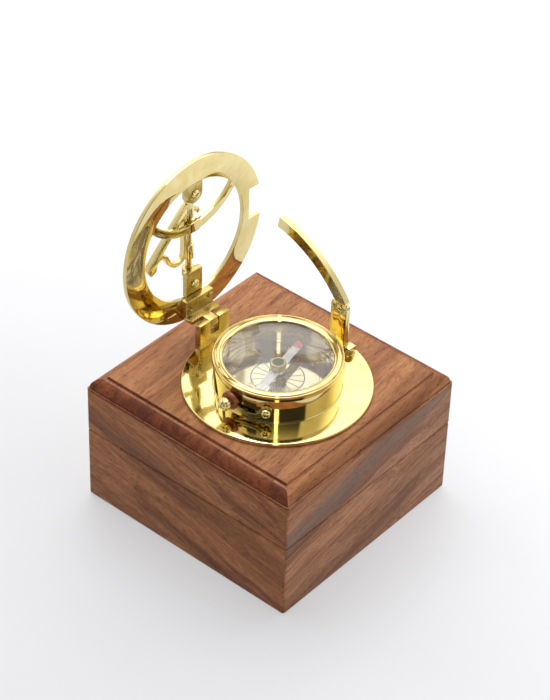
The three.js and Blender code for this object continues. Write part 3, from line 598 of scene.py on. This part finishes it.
def make_case():
    base = eased([(0.5, 0), (0, 0.5), (0, PARTING - 0.7), (0.7, PARTING), (WALL, PARTING), (WALL, 0)],
                 0.4, 3, True)
    lid = eased([(0.6, PARTING), (0, PARTING + 0.6), (0, LID_TOP), (WALL, LID_TOP), (WALL, PARTING)],
                0.3, 3, True)
    slots = [mortise(x) for x in HINGE_X]
    walls = piece("case_carcass", framed(base), CASE, "case_base", [wood_side, wood_front],
                  ["case_walls"], slots)
    sides = piece("lid_frame", framed(lid), CASE, "case_lid", [wood_side, wood_front],
                  ["lid_walls"], slots)
    for obj in (walls, sides):
        by_facing(obj, wall_of)
    # the moulding: a step in and up, a quarter round, then the raised field
    step, up, ovolo, field = 0.8, 0.9, 4.4, 6.0
    ledge = LID_TOP + up
    shoulder = ledge + ovolo
    edge = eased([(0.6, LID_TOP + 0.02), (0, LID_TOP + 0.1), (0, ledge), (step - 0.05, ledge)], 0.22)
    edge += arc_points(step + ovolo, ledge, ovolo, 180, 90, 10)[1:]
    edge += [(field - 0.25, shoulder + 0.02), (field - 0.1, shoulder + 0.12), (field, CASE_H - 0.35),
             (field + 0.12, CASE_H - 0.1), (field + 0.4, CASE_H)]
    board = piece("lid_board", framed(edge, False), CASE, "case_lid", [wood_top, wood_end],
                  ["lid_top"])
    by_facing(board, lambda centre, normal: int(
        abs(centre.x) > (CASE_W / 2 - field - 0.5) * MM and abs(normal.x) > 0.15 and normal.z < 0.995))
    inner = [CASE_W / 2 - WALL - 0.05, CASE_D / 2 - WALL - 0.05]
    piece("case_bottom_board", block((-inner[0], -inner[1], 0), (inner[0], inner[1], FLOOR_T), 0.3), CASE,
          "case_base", wood_floor, ["case_floor"])
    tray_top = PARTING - 1
    w, d = inner[0] - 0.3, inner[1] - 0.3
    nest = lathe([(0, 10), (39.2, 10), (40.0, 10.3), (40.5, 11.2), (40.5, tray_top - 1.4),
                  (40.8, tray_top - 0.5), (41.5, tray_top + 0.1), (41.5, tray_top + 3),
                  (0, tray_top + 3)], 128)
    piece("velvet_nest", block((-w, -d, FLOOR_T + 0.05), (w, d, tray_top), 0.9),
          CASE, "case_base", lining, ["nest_tray"], [nest])
    crown = [(0, 0), (0.2, -0.6), (0.9, -1.25), (2.5, -1.5), (8, -1.58)]
    board = framed([(WALL + 0.4 + by, LID_TOP - 0.02 + z) for by, z in crown], False, WALL + 3)
    piece("lid_flock_board", board, CASE, "case_lid", lining, ["lid_lining"])


def slotted(name, profile, place, body, look, nodes, top, head, turn, deep, wide, sides=40):
    """A turned screw with a driver slot across its head, which faces +Z at the height top."""
    blade = block((-head - 1, -wide / 2, top - deep), (head + 1, wide / 2, top + 2), 0.02)
    return piece(name, lathe(eased(profile, 0.12), sides), place, body, look, nodes,
                 [moved(blade, spun(turn))])


def make_case_hinges():
    for number, x in enumerate(HINGE_X, 1):
        for part, body, sign in (("base", "case_base", 1), ("lid", "case_lid", -1)):
            polished(f"case_hinge_{number}_{part}_leaf", body, case_brass, 0.12)
            for k, dx in enumerate((-6.5, 6.5), 1):
                spot = shift(x + dx, CASE_D / 2 - WALL / 2, PARTING - sign * 0.05)
                if sign < 0:
                    spot = spot @ Matrix.Rotation(math.pi, 4, "X")
                slotted(f"case_hinge_{number}_{part}_woodscrew_{k}",
                        [(0, -6), (0.75, -6), (0.95, -5.7), (0.95, -0.9), (1.88, -0.12), (1.7, -0.06),
                         (0, -0.05)],
                        CASE @ spot, body, case_brass,
                        [f"case_hinge_{number}_{part}_screw_{k}"],
                        -0.05, 1.9, 20 + 47 * k + 31 * number, 0.3, 0.35, 28)
        piece(f"case_hinge_{number}_wire", lathe(eased([(0, -10), (0.7, -10), (0.7, 10), (0, 10)], 0.2), 28),
              CASE @ shift(x, CASE_D / 2 + 1.7, PARTING) @ ALONG_X, "case_base", steel,
              [f"case_hinge_{number}_pin"])


# ---------------------------------------------------------------- compass
BOWL_R, RIM_Z, KNOB_Z, PIVOT_Z = 25.6, 11.2, 6.8, 5.6
KNOB_ANGLE, PIVOT_ANGLE, TAB_ANGLE = 181.5, 213.5, 195.5
CARD_FACE = 2.0


def inner_wall(centre, normal):
    """1 for the bore of the drum, 0 for the rest of it."""
    out = (centre - INSTRUMENT.translation).xy
    return int(out.length < 24.5 * MM and out.dot(normal.xy) < -0.01 * out.length)


def make_compass():
    disc = eased([(0, -1.5), (37.7, -1.5), (38, -1.2), (38, -0.3), (37.7, 0), (0, 0)])
    piece("sole_plate", lathe(disc, 192), INSTRUMENT, "instrument", turned_brass,
          ["base_plate"])
    wall = eased([(0, 0.01), (25.85, 0.01), (25.85, 0.22), (BOWL_R, 0.5), (BOWL_R, 10.6), (24.95, 10.6),
                  (24.95, RIM_Z), (24.2, RIM_Z), (24.2, 1.3), (0, 1.3)], 0.12)
    slit = [(3.7, 5.25), (0, 4.4), (-3.7, 3.9), (-3.7, 5.2), (0, 5.85), (3.7, 6.2)]
    slot = moved(sheet_metal([slit[::-1]], BOWL_R - 4, BOWL_R + 2, 0.02), spun(TAB_ANGLE - 90))
    drum = piece("compass_drum", lathe(wall, 160), INSTRUMENT, "instrument", [turned_brass, satin_wall],
                 ["compass_bowl"], [slot])
    by_facing(drum, inner_wall)
    lip = [(25.0, 10.66), (25.64, 10.66), (25.7, 10.76), (25.95, 12.75)]
    lip += arc_points(25.63, 12.75, 0.32, 18, 162, 8)
    lip += [(25.26, 12.6), (25.1, 12.42), (24.92, 12.6), (24.75, 12.93), (24.45, 13.1), (24.0, 13.18),
            (23.5, 13.2), (23.0, 13.17), (22.55, 13.08), (22.2, 12.95), (21.98, 12.8), (21.85, 12.65),
            (21.8, 12.5), (21.8, 12.38), (25.0, 12.38)]
    piece("bezel_ring", lathe(lip, 160, True), INSTRUMENT, "instrument", bezel_brass,
          ["bezel"])
    disc = eased([(0, 11.22), (24.85, 11.22), (24.85, 12.32), (0, 12.32)], 0.2)
    piece("watch_glass_disc", lathe(disc, 128), INSTRUMENT, "instrument", watch_glass,
          ["compass_glass"])
    card = eased([(0, 1.31), (23.9, 1.31), (23.9, CARD_FACE), (22.9, CARD_FACE), (0, CARD_FACE)], 0.12)
    piece("rose_plate", lathe(card, 128), INSTRUMENT, "instrument", card_brass, ["compass_card"])
    pivot = eased([(0, 2.02), (1.5, 2.02), (1.5, 2.6), (0.45, 3.4), (0.4, 7.2), (0.12, 8.4), (0, 8.58)], 0.2)
    piece("pivot_spike", lathe(pivot, 32), INSTRUMENT, "instrument", steel, ["pivot_pin"])
    for k in range(3):
        spot = spun(90 + 120 * k) @ shift(18, 0, 0)
        under_screw(f"bowl_screw_{k + 1}", spot, 1.2, 1.0, 25 + 50 * k)
    for k, x in enumerate((-5.3, 5.3), 1):
        under_screw(f"bracket_screw_{k}", shift(x, 36.2, 0), 3.5, 0.8, 60 * k)
    under_screw("post_screw", shift(POST_X, -3, 0), 5, 0.8, 10)


def under_screw(name, spot, length, r, turn):
    """Countersunk from below, so its head faces down."""
    flip = Matrix.Rotation(math.pi, 4, "X")
    profile = [(0, -length), (r, -length), (r, 0.7), (r + 0.8, 1.5), (0, 1.5)]
    slotted(name + "_slotted", profile, INSTRUMENT @ spot @ flip, "instrument", fine_brass,
            [name], 1.5, r + 0.8, turn, 0.3, 0.35, 28)


# ---------------------------------------------------------------- engraving
GLYPHS = {
    "I": [[(0, 0), (0, 1)], [(-0.13, 0), (0.13, 0)], [(-0.13, 1), (0.13, 1)]],
    "V": [[(-0.33, 1), (0, 0), (0.33, 1)], [(-0.45, 1), (-0.2, 1)], [(0.2, 1), (0.45, 1)]],
    "X": [[(-0.33, 1), (0.33, 0)], [(-0.33, 0), (0.33, 1)], [(-0.45, 1), (-0.2, 1)], [(0.2, 1), (0.45, 1)],
          [(-0.45, 0), (-0.2, 0)], [(0.2, 0), (0.45, 0)]],
    "N": [[(-0.34, 0), (-0.34, 1), (0.34, 0), (0.34, 1)]],
    "E": [[(0.3, 1), (-0.28, 1), (-0.28, 0), (0.3, 0)], [(-0.28, 0.52), (0.18, 0.52)]],
    "S": [[(0.29, 0.85), (0.1, 1), (-0.18, 0.97), (-0.3, 0.78), (-0.16, 0.58), (0.14, 0.46), (0.3, 0.26),
           (0.16, 0.03), (-0.14, 0), (-0.31, 0.16)]],
    "W": [[(-0.5, 1), (-0.25, 0), (0, 0.85), (0.25, 0), (0.5, 1)]],
    "0": [[(0.56 * x, y) for x, y in arc_points(0, 0.5, 0.5, 0, 360, 12)]],
    "1": [[(-0.15, 0.8), (0.05, 1), (0.05, 0)]],
    "2": [[(-0.26, 0.8), (-0.05, 1), (0.22, 0.88), (0.24, 0.62), (-0.28, 0), (0.28, 0)]],
    "3": [[(-0.24, 0.95), (0.1, 1), (0.24, 0.78), (0.02, 0.54), (0.26, 0.28), (0.08, 0), (-0.26, 0.06)]],
    "4": [[(0.12, 0), (0.12, 1), (-0.28, 0.3), (0.3, 0.3)]],
}
ADVANCE = {"I": 0.36, "V": 0.86, "X": 0.86, "W": 1.1}
PROUD = 0.025   # how far filled engraving stands above the metal, to be seen


def stroke(a, b, width):
    """A fine straight line from a to b in X and Y, just above and below z = 0."""
    a, b = Vector((*a, 0)), Vector((*b, 0))
    along = (b - a).normalized() * width / 2
    side = Vector((-along.y, along.x, 0))
    a, b = a - along * 0.4, b + along * 0.4
    points = [tuple(p + Vector((0, 0, z))) for z in (-PROUD, PROUD)
              for p in (a - side, b - side, b + side, a + side)]
    return points, [(0, 1, 2, 3), (4, 5, 6, 7), (0, 1, 5, 4), (1, 2, 6, 5), (2, 3, 7, 6), (3, 0, 4, 7)]


def lettering(text, height, width, place):
    """Engraved characters, centred on the place's origin with their feet towards -Y."""
    shapes = []
    spans = [ADVANCE.get(c, 0.8) * height for c in text]
    x = -sum(spans) / 2
    for c, span in zip(text, spans):
        for line in GLYPHS[c]:
            for a, b in zip(line, line[1:]):
                ends = [(x + span / 2 + u * height * 0.9, (v - 0.5) * height) for u, v in (a, b)]
                shapes.append(stroke(*ends, width))
        x += span
    return moved(together(*shapes), place)


def spoke(degrees, r0, r1, width):
    """A line out from the centre, from one radius to another."""
    a = math.radians(degrees)
    return stroke((r0 * math.cos(a), r0 * math.sin(a)), (r1 * math.cos(a), r1 * math.sin(a)), width)


def spokes(count, r0, r1, width, start):
    """Lines spread evenly round a full turn."""
    return [spoke(start + 360 * i / count, r0, r1, width) for i in range(count)]


def circle_line(r, width, sides=128):
    half = width / 2
    return lathe([(r - half, -PROUD), (r + half, -PROUD), (r + half, PROUD), (r - half, PROUD)], sides, True)


def make_card_engraving():
    face = INSTRUMENT @ shift(0, 0, CARD_FACE)
    north = 75.0   # where the card's north is, degrees from +X
    shapes = [circle_line(r, w) for r, w in ((10.6, 0.42), (4.2, 0.2), (16.4, 0.2), (21.9, 0.22),
                                             (20.3, 0.15))]
    shapes += spokes(16, 4.4, 10.5, 0.3, north) + spokes(72, 20.3, 21.9, 0.12, north)
    piece("card_engraving", together(*shapes), face, "instrument", card_lines)
    letters = []
    for k, c in enumerate("NESW"):
        a = north - 90 * k
        spot = spun(a - 90) @ shift(0, 18.3, 0)
        letters.append(lettering(c, 4.0, 0.6, spot))
    for k in range(4):
        a = north + 45 + 90 * k
        for s in (-1, 0, 1):
            t = math.radians(a + 6 * s)
            u = math.radians(a)
            letters.append(stroke((16.9 * math.cos(u), 16.9 * math.sin(u)),
                                  (19.8 * math.cos(t), 19.8 * math.sin(t)), 0.3))
    piece("card_letters", together(*letters), face, "instrument", gilt)


# ---------------------------------------------------------------- needle and its lock
NEEDLE_TURN, NEEDLE_HALF, RED_FROM = 15, 20.5, 15.0


def make_needle():
    lie = INSTRUMENT @ spun(NEEDLE_TURN) @ Matrix.Rotation(-math.pi / 2, 4, "X")
    h, w, s = NEEDLE_HALF, 1.8, 3
    hub = arc_points(0, 0, 3.0, 38, 142, 16)
    far = arc_points(0, 0, 3.0, 218, 322, 16)
    white = [(-h, -w)] + far + [(RED_FROM, -w), (RED_FROM, w)] + hub + [(-h + s, w)]
    red = [(RED_FROM + 0.03, -w), (h - s, -w), (h, w), (RED_FROM + 0.03, w)]
    bore = arc_points(0, 0, 1.95, 0, 360, 40)[-2::-1]
    flat = [sheet_metal([white, bore], -6.7, -6.2, 0.12), sheet_metal([red], -6.7, -6.2, 0.12)]
    obj = piece("needle_bar", together(*flat), lie, "needle", [white_paint, red_paint],
                ["compass_needle"])
    back = lie.inverted()
    for face in obj.data.polygons:
        face.material_index = int((back @ face.center).x > RED_FROM + 0.01)
    cap = eased([(0, 8.9), (1.2, 8.3), (1.2, 5.6), (1.9, 5.6), (1.9, 6.75), (3.2, 6.75), (3.2, 9.4),
                 (2.9, 9.8), (2.3, 9.8), (2.3, 9.4), (0, 9.4)], 0.2)
    piece("needle_cap_turned", lathe(cap, 64), INSTRUMENT, "needle", fine_brass, ["needle_cap"])
    dome = [(2.2 * math.cos(a), 9.75 + 0.55 * math.sin(a)) for a in (math.radians(10 * i) for i in range(10))]
    piece("jewel_dome", lathe([(0, 9.42), (2.15, 9.42)] + dome[:-1] + [(0, 10.3)], 48), INSTRUMENT, "needle",
          green_jewel, ["cap_jewel"])


def fluted(shape, count, depth, above):
    """Presses count flutes into the side of a turned shape, above a height."""
    out = []
    for x, y, z in shape[0]:
        press = depth * (0.5 - 0.5 * math.cos(count * math.atan2(y, x))) if z > above else 0
        out.append((x * (1 - press), y * (1 - press), z))
    return out, shape[1]


def make_needle_lock():
    collar = lathe(eased([(2.12, 4.46), (3.58, 4.46), (3.58, 4.99), (2.12, 4.99)], 0.12, 3, True), 64, True)
    arm = moved(block((3.2, -0.9, 4.46), (BOWL_R + 1.28, 0.9, 4.99), 0.1), spun(TAB_ANGLE))
    # a curved sheet behind the slot, in nearly black brass, is painted shade: it hides the bright card so the
    # slit reads dark
    painted_shade_sheet = arc_points(0, 0, 24.08, -TAB_ANGLE - 13, -TAB_ANGLE + 13, 20)
    painted_shade_sheet += arc_points(0, 0, 23.5, -TAB_ANGLE + 13, -TAB_ANGLE - 13, 20)
    plate = moved(sheet_metal([painted_shade_sheet], 2.5, 6.9, 0.05), Matrix.Rotation(math.pi / 2, 4, "X"))
    piece("lifter_collar_and_arm", collar, INSTRUMENT, "needle_lifter", painted_shade_brass,
          ["needle_lifter"], joins=[arm, plate])
    polished("lock_lever", "lock_lever", fine_brass, 0.1, 40)
    face = BOWL_R + 1.25
    knob_at = INSTRUMENT @ outwards(KNOB_ANGLE, KNOB_Z)
    outer = face + 1.4
    low, high = face + 0.02, outer - 0.02
    washer = eased([(0.97, low), (3.8, low), (3.8, high), (0.97, high)], 0.3, 3, True)
    piece("washer_ring", lathe(washer, 56, True), knob_at, "lock_lever", copper, ["lock_washer"])
    ball_r, ball_at = 2.75, outer + 2.2
    ball = arc_points(0, ball_at, ball_r, -46, 66, 14)
    knob = [(0, BOWL_R + 0.5), (0.86, BOWL_R + 0.5), (0.86, outer + 0.07), (1.9, outer + 0.07)] + ball
    knob += [(0.9, ball_at + ball_r - 0.12), (0.7, ball_at + ball_r - 0.3), (0, ball_at + ball_r - 0.4)]
    piece("ball_knob", fluted(lathe(knob, 96), 12, 0.07, outer + 0.3), knob_at, "lock_lever", polished_brass,
          ["lock_knob"])
    dome = [(0, 24.5), (0.83, 24.5), (0.83, face + 0.02), (1.9, face + 0.02), (1.88, face + 0.35),
            (1.7, face + 0.85), (1.3, face + 1.3), (0.7, face + 1.55), (0, face + 1.6)]
    slotted("lever_screw_dome", dome, INSTRUMENT @ outwards(PIVOT_ANGLE, PIVOT_Z), "instrument",
            polished_brass, ["lever_pivot_screw"], face + 1.6, 1.9, 35, 0.5, 0.4)


# ---------------------------------------------------------------- hour ring
RING_Y = (9.5, 11.5)
RING_R, BORE_R = 37.3, 27.1
NOTCH_X, NOTCH_LOW, NOTCH_HIGH = 30.6, -5.3, 9.3
HOUR = 15     # degrees of the dial


def make_ring():
    high, low = (math.degrees(math.asin(v / RING_R)) for v in (NOTCH_HIGH, NOTCH_LOW))
    outside = arc_points(0, 0, RING_R, high, 360 + low, 180) + [(NOTCH_X, NOTCH_LOW), (NOTCH_X, NOTCH_HIGH)]
    bore = arc_points(0, 0, BORE_R, 360, 0, 144)[:-1]
    hoop = sheet_metal([outside, bore], *RING_Y, 0.22)
    bow = arc_points(-1, 34.5, 30.05, 217, 323, 60) + arc_points(-1, 34.5, 26.55, 323, 217, 60)
    strap = sheet_metal([bow], RING_Y[0] + 0.08, RING_Y[1] - 0.08, 0.2)
    saddle = block((-2.8, RING_Y[0] + 0.04, 4.0), (2.8, RING_Y[1] + 0.2, 8.6), 0.3)
    piece("hour_ring", hoop, RING_CENTRE, "hour_dial", ring_brass, ["dial_ring"],
          joins=[strap, saddle])
    far = RING_CENTRE @ shift(0, RING_Y[1], 0) @ Matrix.Rotation(-math.pi / 2, 4, "X")
    # the far face: its X is the ring's X and its Y runs down the ring
    inner, outer = BORE_R + 0.7, BORE_R + 2.6
    marks = [circle_line(inner, 0.14, 144), circle_line(outer, 0.14, 144)]
    for quarter in range(-32, 33):
        end = outer if quarter % 2 == 0 else BORE_R + 1.5
        marks.append(spoke(90 + quarter * HOUR / 4, inner, end, 0.2 if quarter % 4 == 0 else 0.13))
    names = {4: "IIII", 5: "V", 6: "VI", 7: "VII", 8: "VIII", 9: "IX", 10: "X", 11: "XI", 12: "XII", 13: "I",
             14: "II", 15: "III", 16: "IIII", 17: "V", 20: "VIII"}
    for hour, text in names.items():
        turn = spun((12 - hour) * HOUR)
        marks.append(lettering(text, 4.0, 0.42, turn @ shift(0, 33.2, 0)))
    piece("hour_engraving", together(*marks), far, "hour_dial", engraved)


LEAF_SCREWS = [(-5.6, 4.2), (5.6, 7)]   # X and Z, from the dial's hinge
UPPER_LUG, LOWER_LUG = 21.9, -21.5      # the lugs' screws, from the ring's centre


def make_dial_fittings():
    for solid in ("ring_leaf", "upper_lug", "lower_lug"):
        polished(solid, "hour_dial", fine_brass, 0.16)
    polished("gnomon", "gnomon", polished_brass, 0.25, 40)
    polished("hinge_bracket", "instrument", fine_brass, 0.18)
    piece("dial_hinge_wire", lathe(eased([(0, -8.3), (0.8, -8.3), (0.8, 8.3), (0, 8.3)], 0.2), 28),
          DIAL @ ALONG_X, "instrument", steel, ["dial_hinge_pin"])
    toward = Matrix.Rotation(math.pi / 2, 4, "X")     # a head that faces -Y
    for k, (x, z) in enumerate(LEAF_SCREWS, 1):
        profile = [(0, -11.1), (0.69, -11.1), (0.69, -6.37), (1.25, -6.37), (1.22, -6.1), (0.9, -5.92),
                   (0, -5.9)]
        slotted(f"leaf_screw_{k}_slotted", profile, DIAL @ shift(x, 0, z) @ toward, "hour_dial",
                fine_brass, [f"leaf_screw_{k}"], -5.9, 1.25, 40 + 70 * k, 0.25, 0.3, 28)
    head = 9.57
    for name, z, tip, turn in (("upper_lug_screw", UPPER_LUG, 11.5, 35),
                               ("lower_lug_screw", LOWER_LUG, 14.5, 60)):
        profile = [(0, -tip), (0.94, -tip), (0.94, -head), (2.0, -head), (1.98, -head + 0.45),
                   (1.7, -head + 0.85), (1.1, -head + 1.05), (0, -head + 1.1)]
        slotted(name + "_slotted", profile, RING_CENTRE @ shift(0, 0, z) @ toward, "hour_dial",
                polished_brass, [name], -head + 1.1, 2.0, turn, 0.4, 0.42, 36)
    nut = 11.95
    globe = arc_points(0, nut + 1.6, 2.1, -48, 48, 12)
    piece("globe_nut", lathe([(1.0, nut)] + globe + [(1.0, nut + 3.2)], 40, True),
          RING_CENTRE @ shift(0, 0, LOWER_LUG) @ ALONG_Y, "hour_dial", polished_brass,
          ["lower_lug_nut"])
    rod = eased([(0, -18.7), (1.3, -18.7), (1.3, 23.8), (0, 23.8)], 0.25)
    piece("gnomon_spindle", lathe(rod, 40), AXLE, "hour_dial", polished_brass, ["gnomon_axle"])


# ---------------------------------------------------------------- latitude arc
ARC_CENTRE = (40, -7.2 - PIN_Z)   # Y and Z of the arc's centre, from its pin
ARC_IN, ARC_HALF = 51.3, 1.3


def make_arc():
    polished("latitude_arc", "latitude_arc", bar_brass, 0.25, 25)
    polished("arc_post", "instrument", bar_brass, 0.2)
    head = 9.45
    foot = [(0, 5.2), (0.78, 5.2), (0.78, head), (1.3, head), (1.28, head + 0.5), (0.9, head + 0.85),
            (0, head + 0.9)]
    flip = Matrix.Rotation(math.pi / 2, 4, "X")
    slotted("arc_foot_screw_slotted", foot, INSTRUMENT @ shift(POST_X, 0, 1.7) @ flip, "instrument",
            fine_brass, ["arc_foot_screw"], head + 0.9, 1.3, 20, 0.3, 0.35, 32)
    piece("arc_hinge_wire", lathe(eased([(0, -7), (0.6, -7), (0.6, 1), (0, 1)], 0.15), 24), ARC @ ALONG_Y,
          "instrument", steel, ["arc_hinge_pin"])
    # degree scale on the side away from the compass
    side = (ARC @ shift(ARC_HALF, *ARC_CENTRE) @ Matrix.Rotation(math.pi / 2, 4, "Z")
            @ Matrix.Rotation(math.pi / 2, 4, "X"))
    first, inner = 105, ARC_IN + 0.35
    marks = []
    for degree in range(40):
        length = 1.9 if degree % 10 == 0 else 1.3 if degree % 5 == 0 else 0.8
        marks.append(spoke(first + degree, inner, inner + length, 0.12))
    for k in range(4):
        turn = spun(first + 10 * k + 1.9 - 90)
        marks.append(lettering(str(10 * (k + 1)), 1.6, 0.2, turn @ shift(0, 54.6, 0)))
    piece("arc_engraving", together(*marks), side, "latitude_arc", engraved)


make_case()
make_case_hinges()
make_compass()
make_card_engraving()
make_needle()
make_needle_lock()
make_ring()
make_dial_fittings()
make_arc()


# ---------------------------------------------------------------- floor, light and surroundings
TABLE_R, TABLE_GAP = 6, 0.0004   # metres


def make_floor():
    mat, tree, shader = surface("pale_table", Roughness=0.55, Specular_IOR_Level=0.25)
    at = node(tree, "TexCoord").outputs["Object"]
    cloud = noise(tree, at, 9.0, 3)
    tree.links.new(ramp(tree, cloud, [(0.3, (0.29, 0.292, 0.305)), (0.7, (0.31, 0.312, 0.322))]),
                   shader.inputs["Base Color"])
    bumped(tree, shader, noise(tree, at, 900.0, 2), 2e-5)
    # the paper glows a little, more so towards +X and away from the case, so that shadows stay pale
    lean = node(tree, "VectorMath", {0: at, 1: (0.75, -0.10, 0.0)}, operation="DOT_PRODUCT").outputs["Value"]
    away = node(tree, "VectorMath", {0: at}, operation="LENGTH").outputs["Value"]
    reach = sums(tree, "ADD", lean, sums(tree, "MULTIPLY", away, 0.55))
    glow = ramp(tree, reach, [(0.0, 0.45), (0.10, 0.55), (0.30, 0.82)])
    shader.inputs["Emission Color"].default_value = (0.985, 0.985, 1.0, 1)
    tree.links.new(glow, shader.inputs["Emission Strength"])
    mesh = bpy.data.meshes.new("floor")
    rim_points = [(x, y, -TABLE_GAP) for x, y in arc_points(0, 0, TABLE_R, 0, 360, 48)[:-1]]
    mesh.from_pydata(rim_points, [], [tuple(range(len(rim_points)))])
    floor = bpy.data.objects.new("floor", mesh)
    bpy.context.scene.collection.objects.link(floor)
    mesh.materials.append(mat)


def make_light(name, position, target, size, power):
    data = bpy.data.lights.new(name, "AREA")
    data.shape = "DISK"
    data.size = size
    data.energy = power
    lamp = bpy.data.objects.new(name, data)
    lamp.location = position
    lamp.rotation_euler = (Vector(target) - Vector(position)).to_track_quat("-Z", "Y").to_euler()
    lamp.visible_camera = False
    bpy.context.scene.collection.objects.link(lamp)


def window(tree, value, low, high, soft):
    """1 between low and high, falling to 0 over soft on each side."""
    return sums(tree, "MULTIPLY", fade(tree, value, low - soft, low + soft),
                fade(tree, value, high - soft, high + soft, 1.0, 0.0))


# how bright the tent is, what its top and back add, what the opening takes away, and what the gap adds
TENT, OVERHEAD, BEHIND, OPENING, GAP = 0.82, 0.25, 1.15, 0.93, 3.6


def make_world():
    """A white tent that is open and dark towards the camera, but for one bright gap."""
    world = bpy.data.worlds.new("tent")
    bpy.context.scene.world = world
    world.use_nodes = True
    tree = world.node_tree
    tree.nodes.clear()
    to = node(tree, "TexCoord").outputs["Generated"]
    split = node(tree, "SeparateXYZ", {0: to})
    az = math.radians(VIEW_AZIMUTH)
    x, y, z = split.outputs
    ahead = sums(tree, "ADD", sums(tree, "MULTIPLY", x, math.cos(az)),
                 sums(tree, "MULTIPLY", y, math.sin(az)))
    across = sums(tree, "ADD", sums(tree, "MULTIPLY", x, -math.sin(az)),
                  sums(tree, "MULTIPLY", y, math.cos(az)))
    bearing = sums(tree, "ARCTAN2", across, ahead)            # 0 towards the camera, + to its right side
    height = sums(tree, "ARCSINE", z)
    overhead = fade(tree, height, 0.85, 1.25)
    behind = sums(tree, "MULTIPLY", fade(tree, sums(tree, "ABSOLUTE", bearing), 1.5, 2.3),
                  window(tree, height, 0.3, 1.05, 0.2))
    opening = sums(tree, "MULTIPLY", window(tree, bearing, -1.05, 0.86, 0.05),
                   window(tree, height, 0.12, 1.0, 0.12))
    gap = sums(tree, "MULTIPLY", window(tree, bearing, -0.05, 0.06, 0.02),
               window(tree, height, 0.3, 1.1, 0.1))
    level = TENT
    for part, much in ((overhead, OVERHEAD), (behind, BEHIND)):
        level = sums(tree, "ADD", sums(tree, "MULTIPLY", part, much), level)
    shade = sums(tree, "SUBTRACT", 1.0, sums(tree, "MULTIPLY", opening, OPENING))
    level = sums(tree, "MULTIPLY", level, shade)
    level = sums(tree, "ADD", level, sums(tree, "MULTIPLY", gap, GAP))
    tint = mixed(tree, level, (0.80, 0.76, 0.86), (1.0, 0.995, 0.985))
    lit = node(tree, "Background", {0: tint, 1: level})
    plain = node(tree, "Background", {0: (1, 1, 1, 1), 1: 1.0})
    seen = node(tree, "LightPath").outputs["Is Camera Ray"]
    final = node(tree, "MixShader", {0: seen, 1: lit.outputs[0], 2: plain.outputs[0]})
    out = node(tree, "OutputWorld")
    tree.links.new(final.outputs[0], out.inputs[0])


make_floor()
make_world()
make_light("top_softbox", (0.25, 0.35, 1.1), (0, 0, 0.03), 0.8, 4.0)
bpy.context.scene.view_settings.view_transform = "Standard"
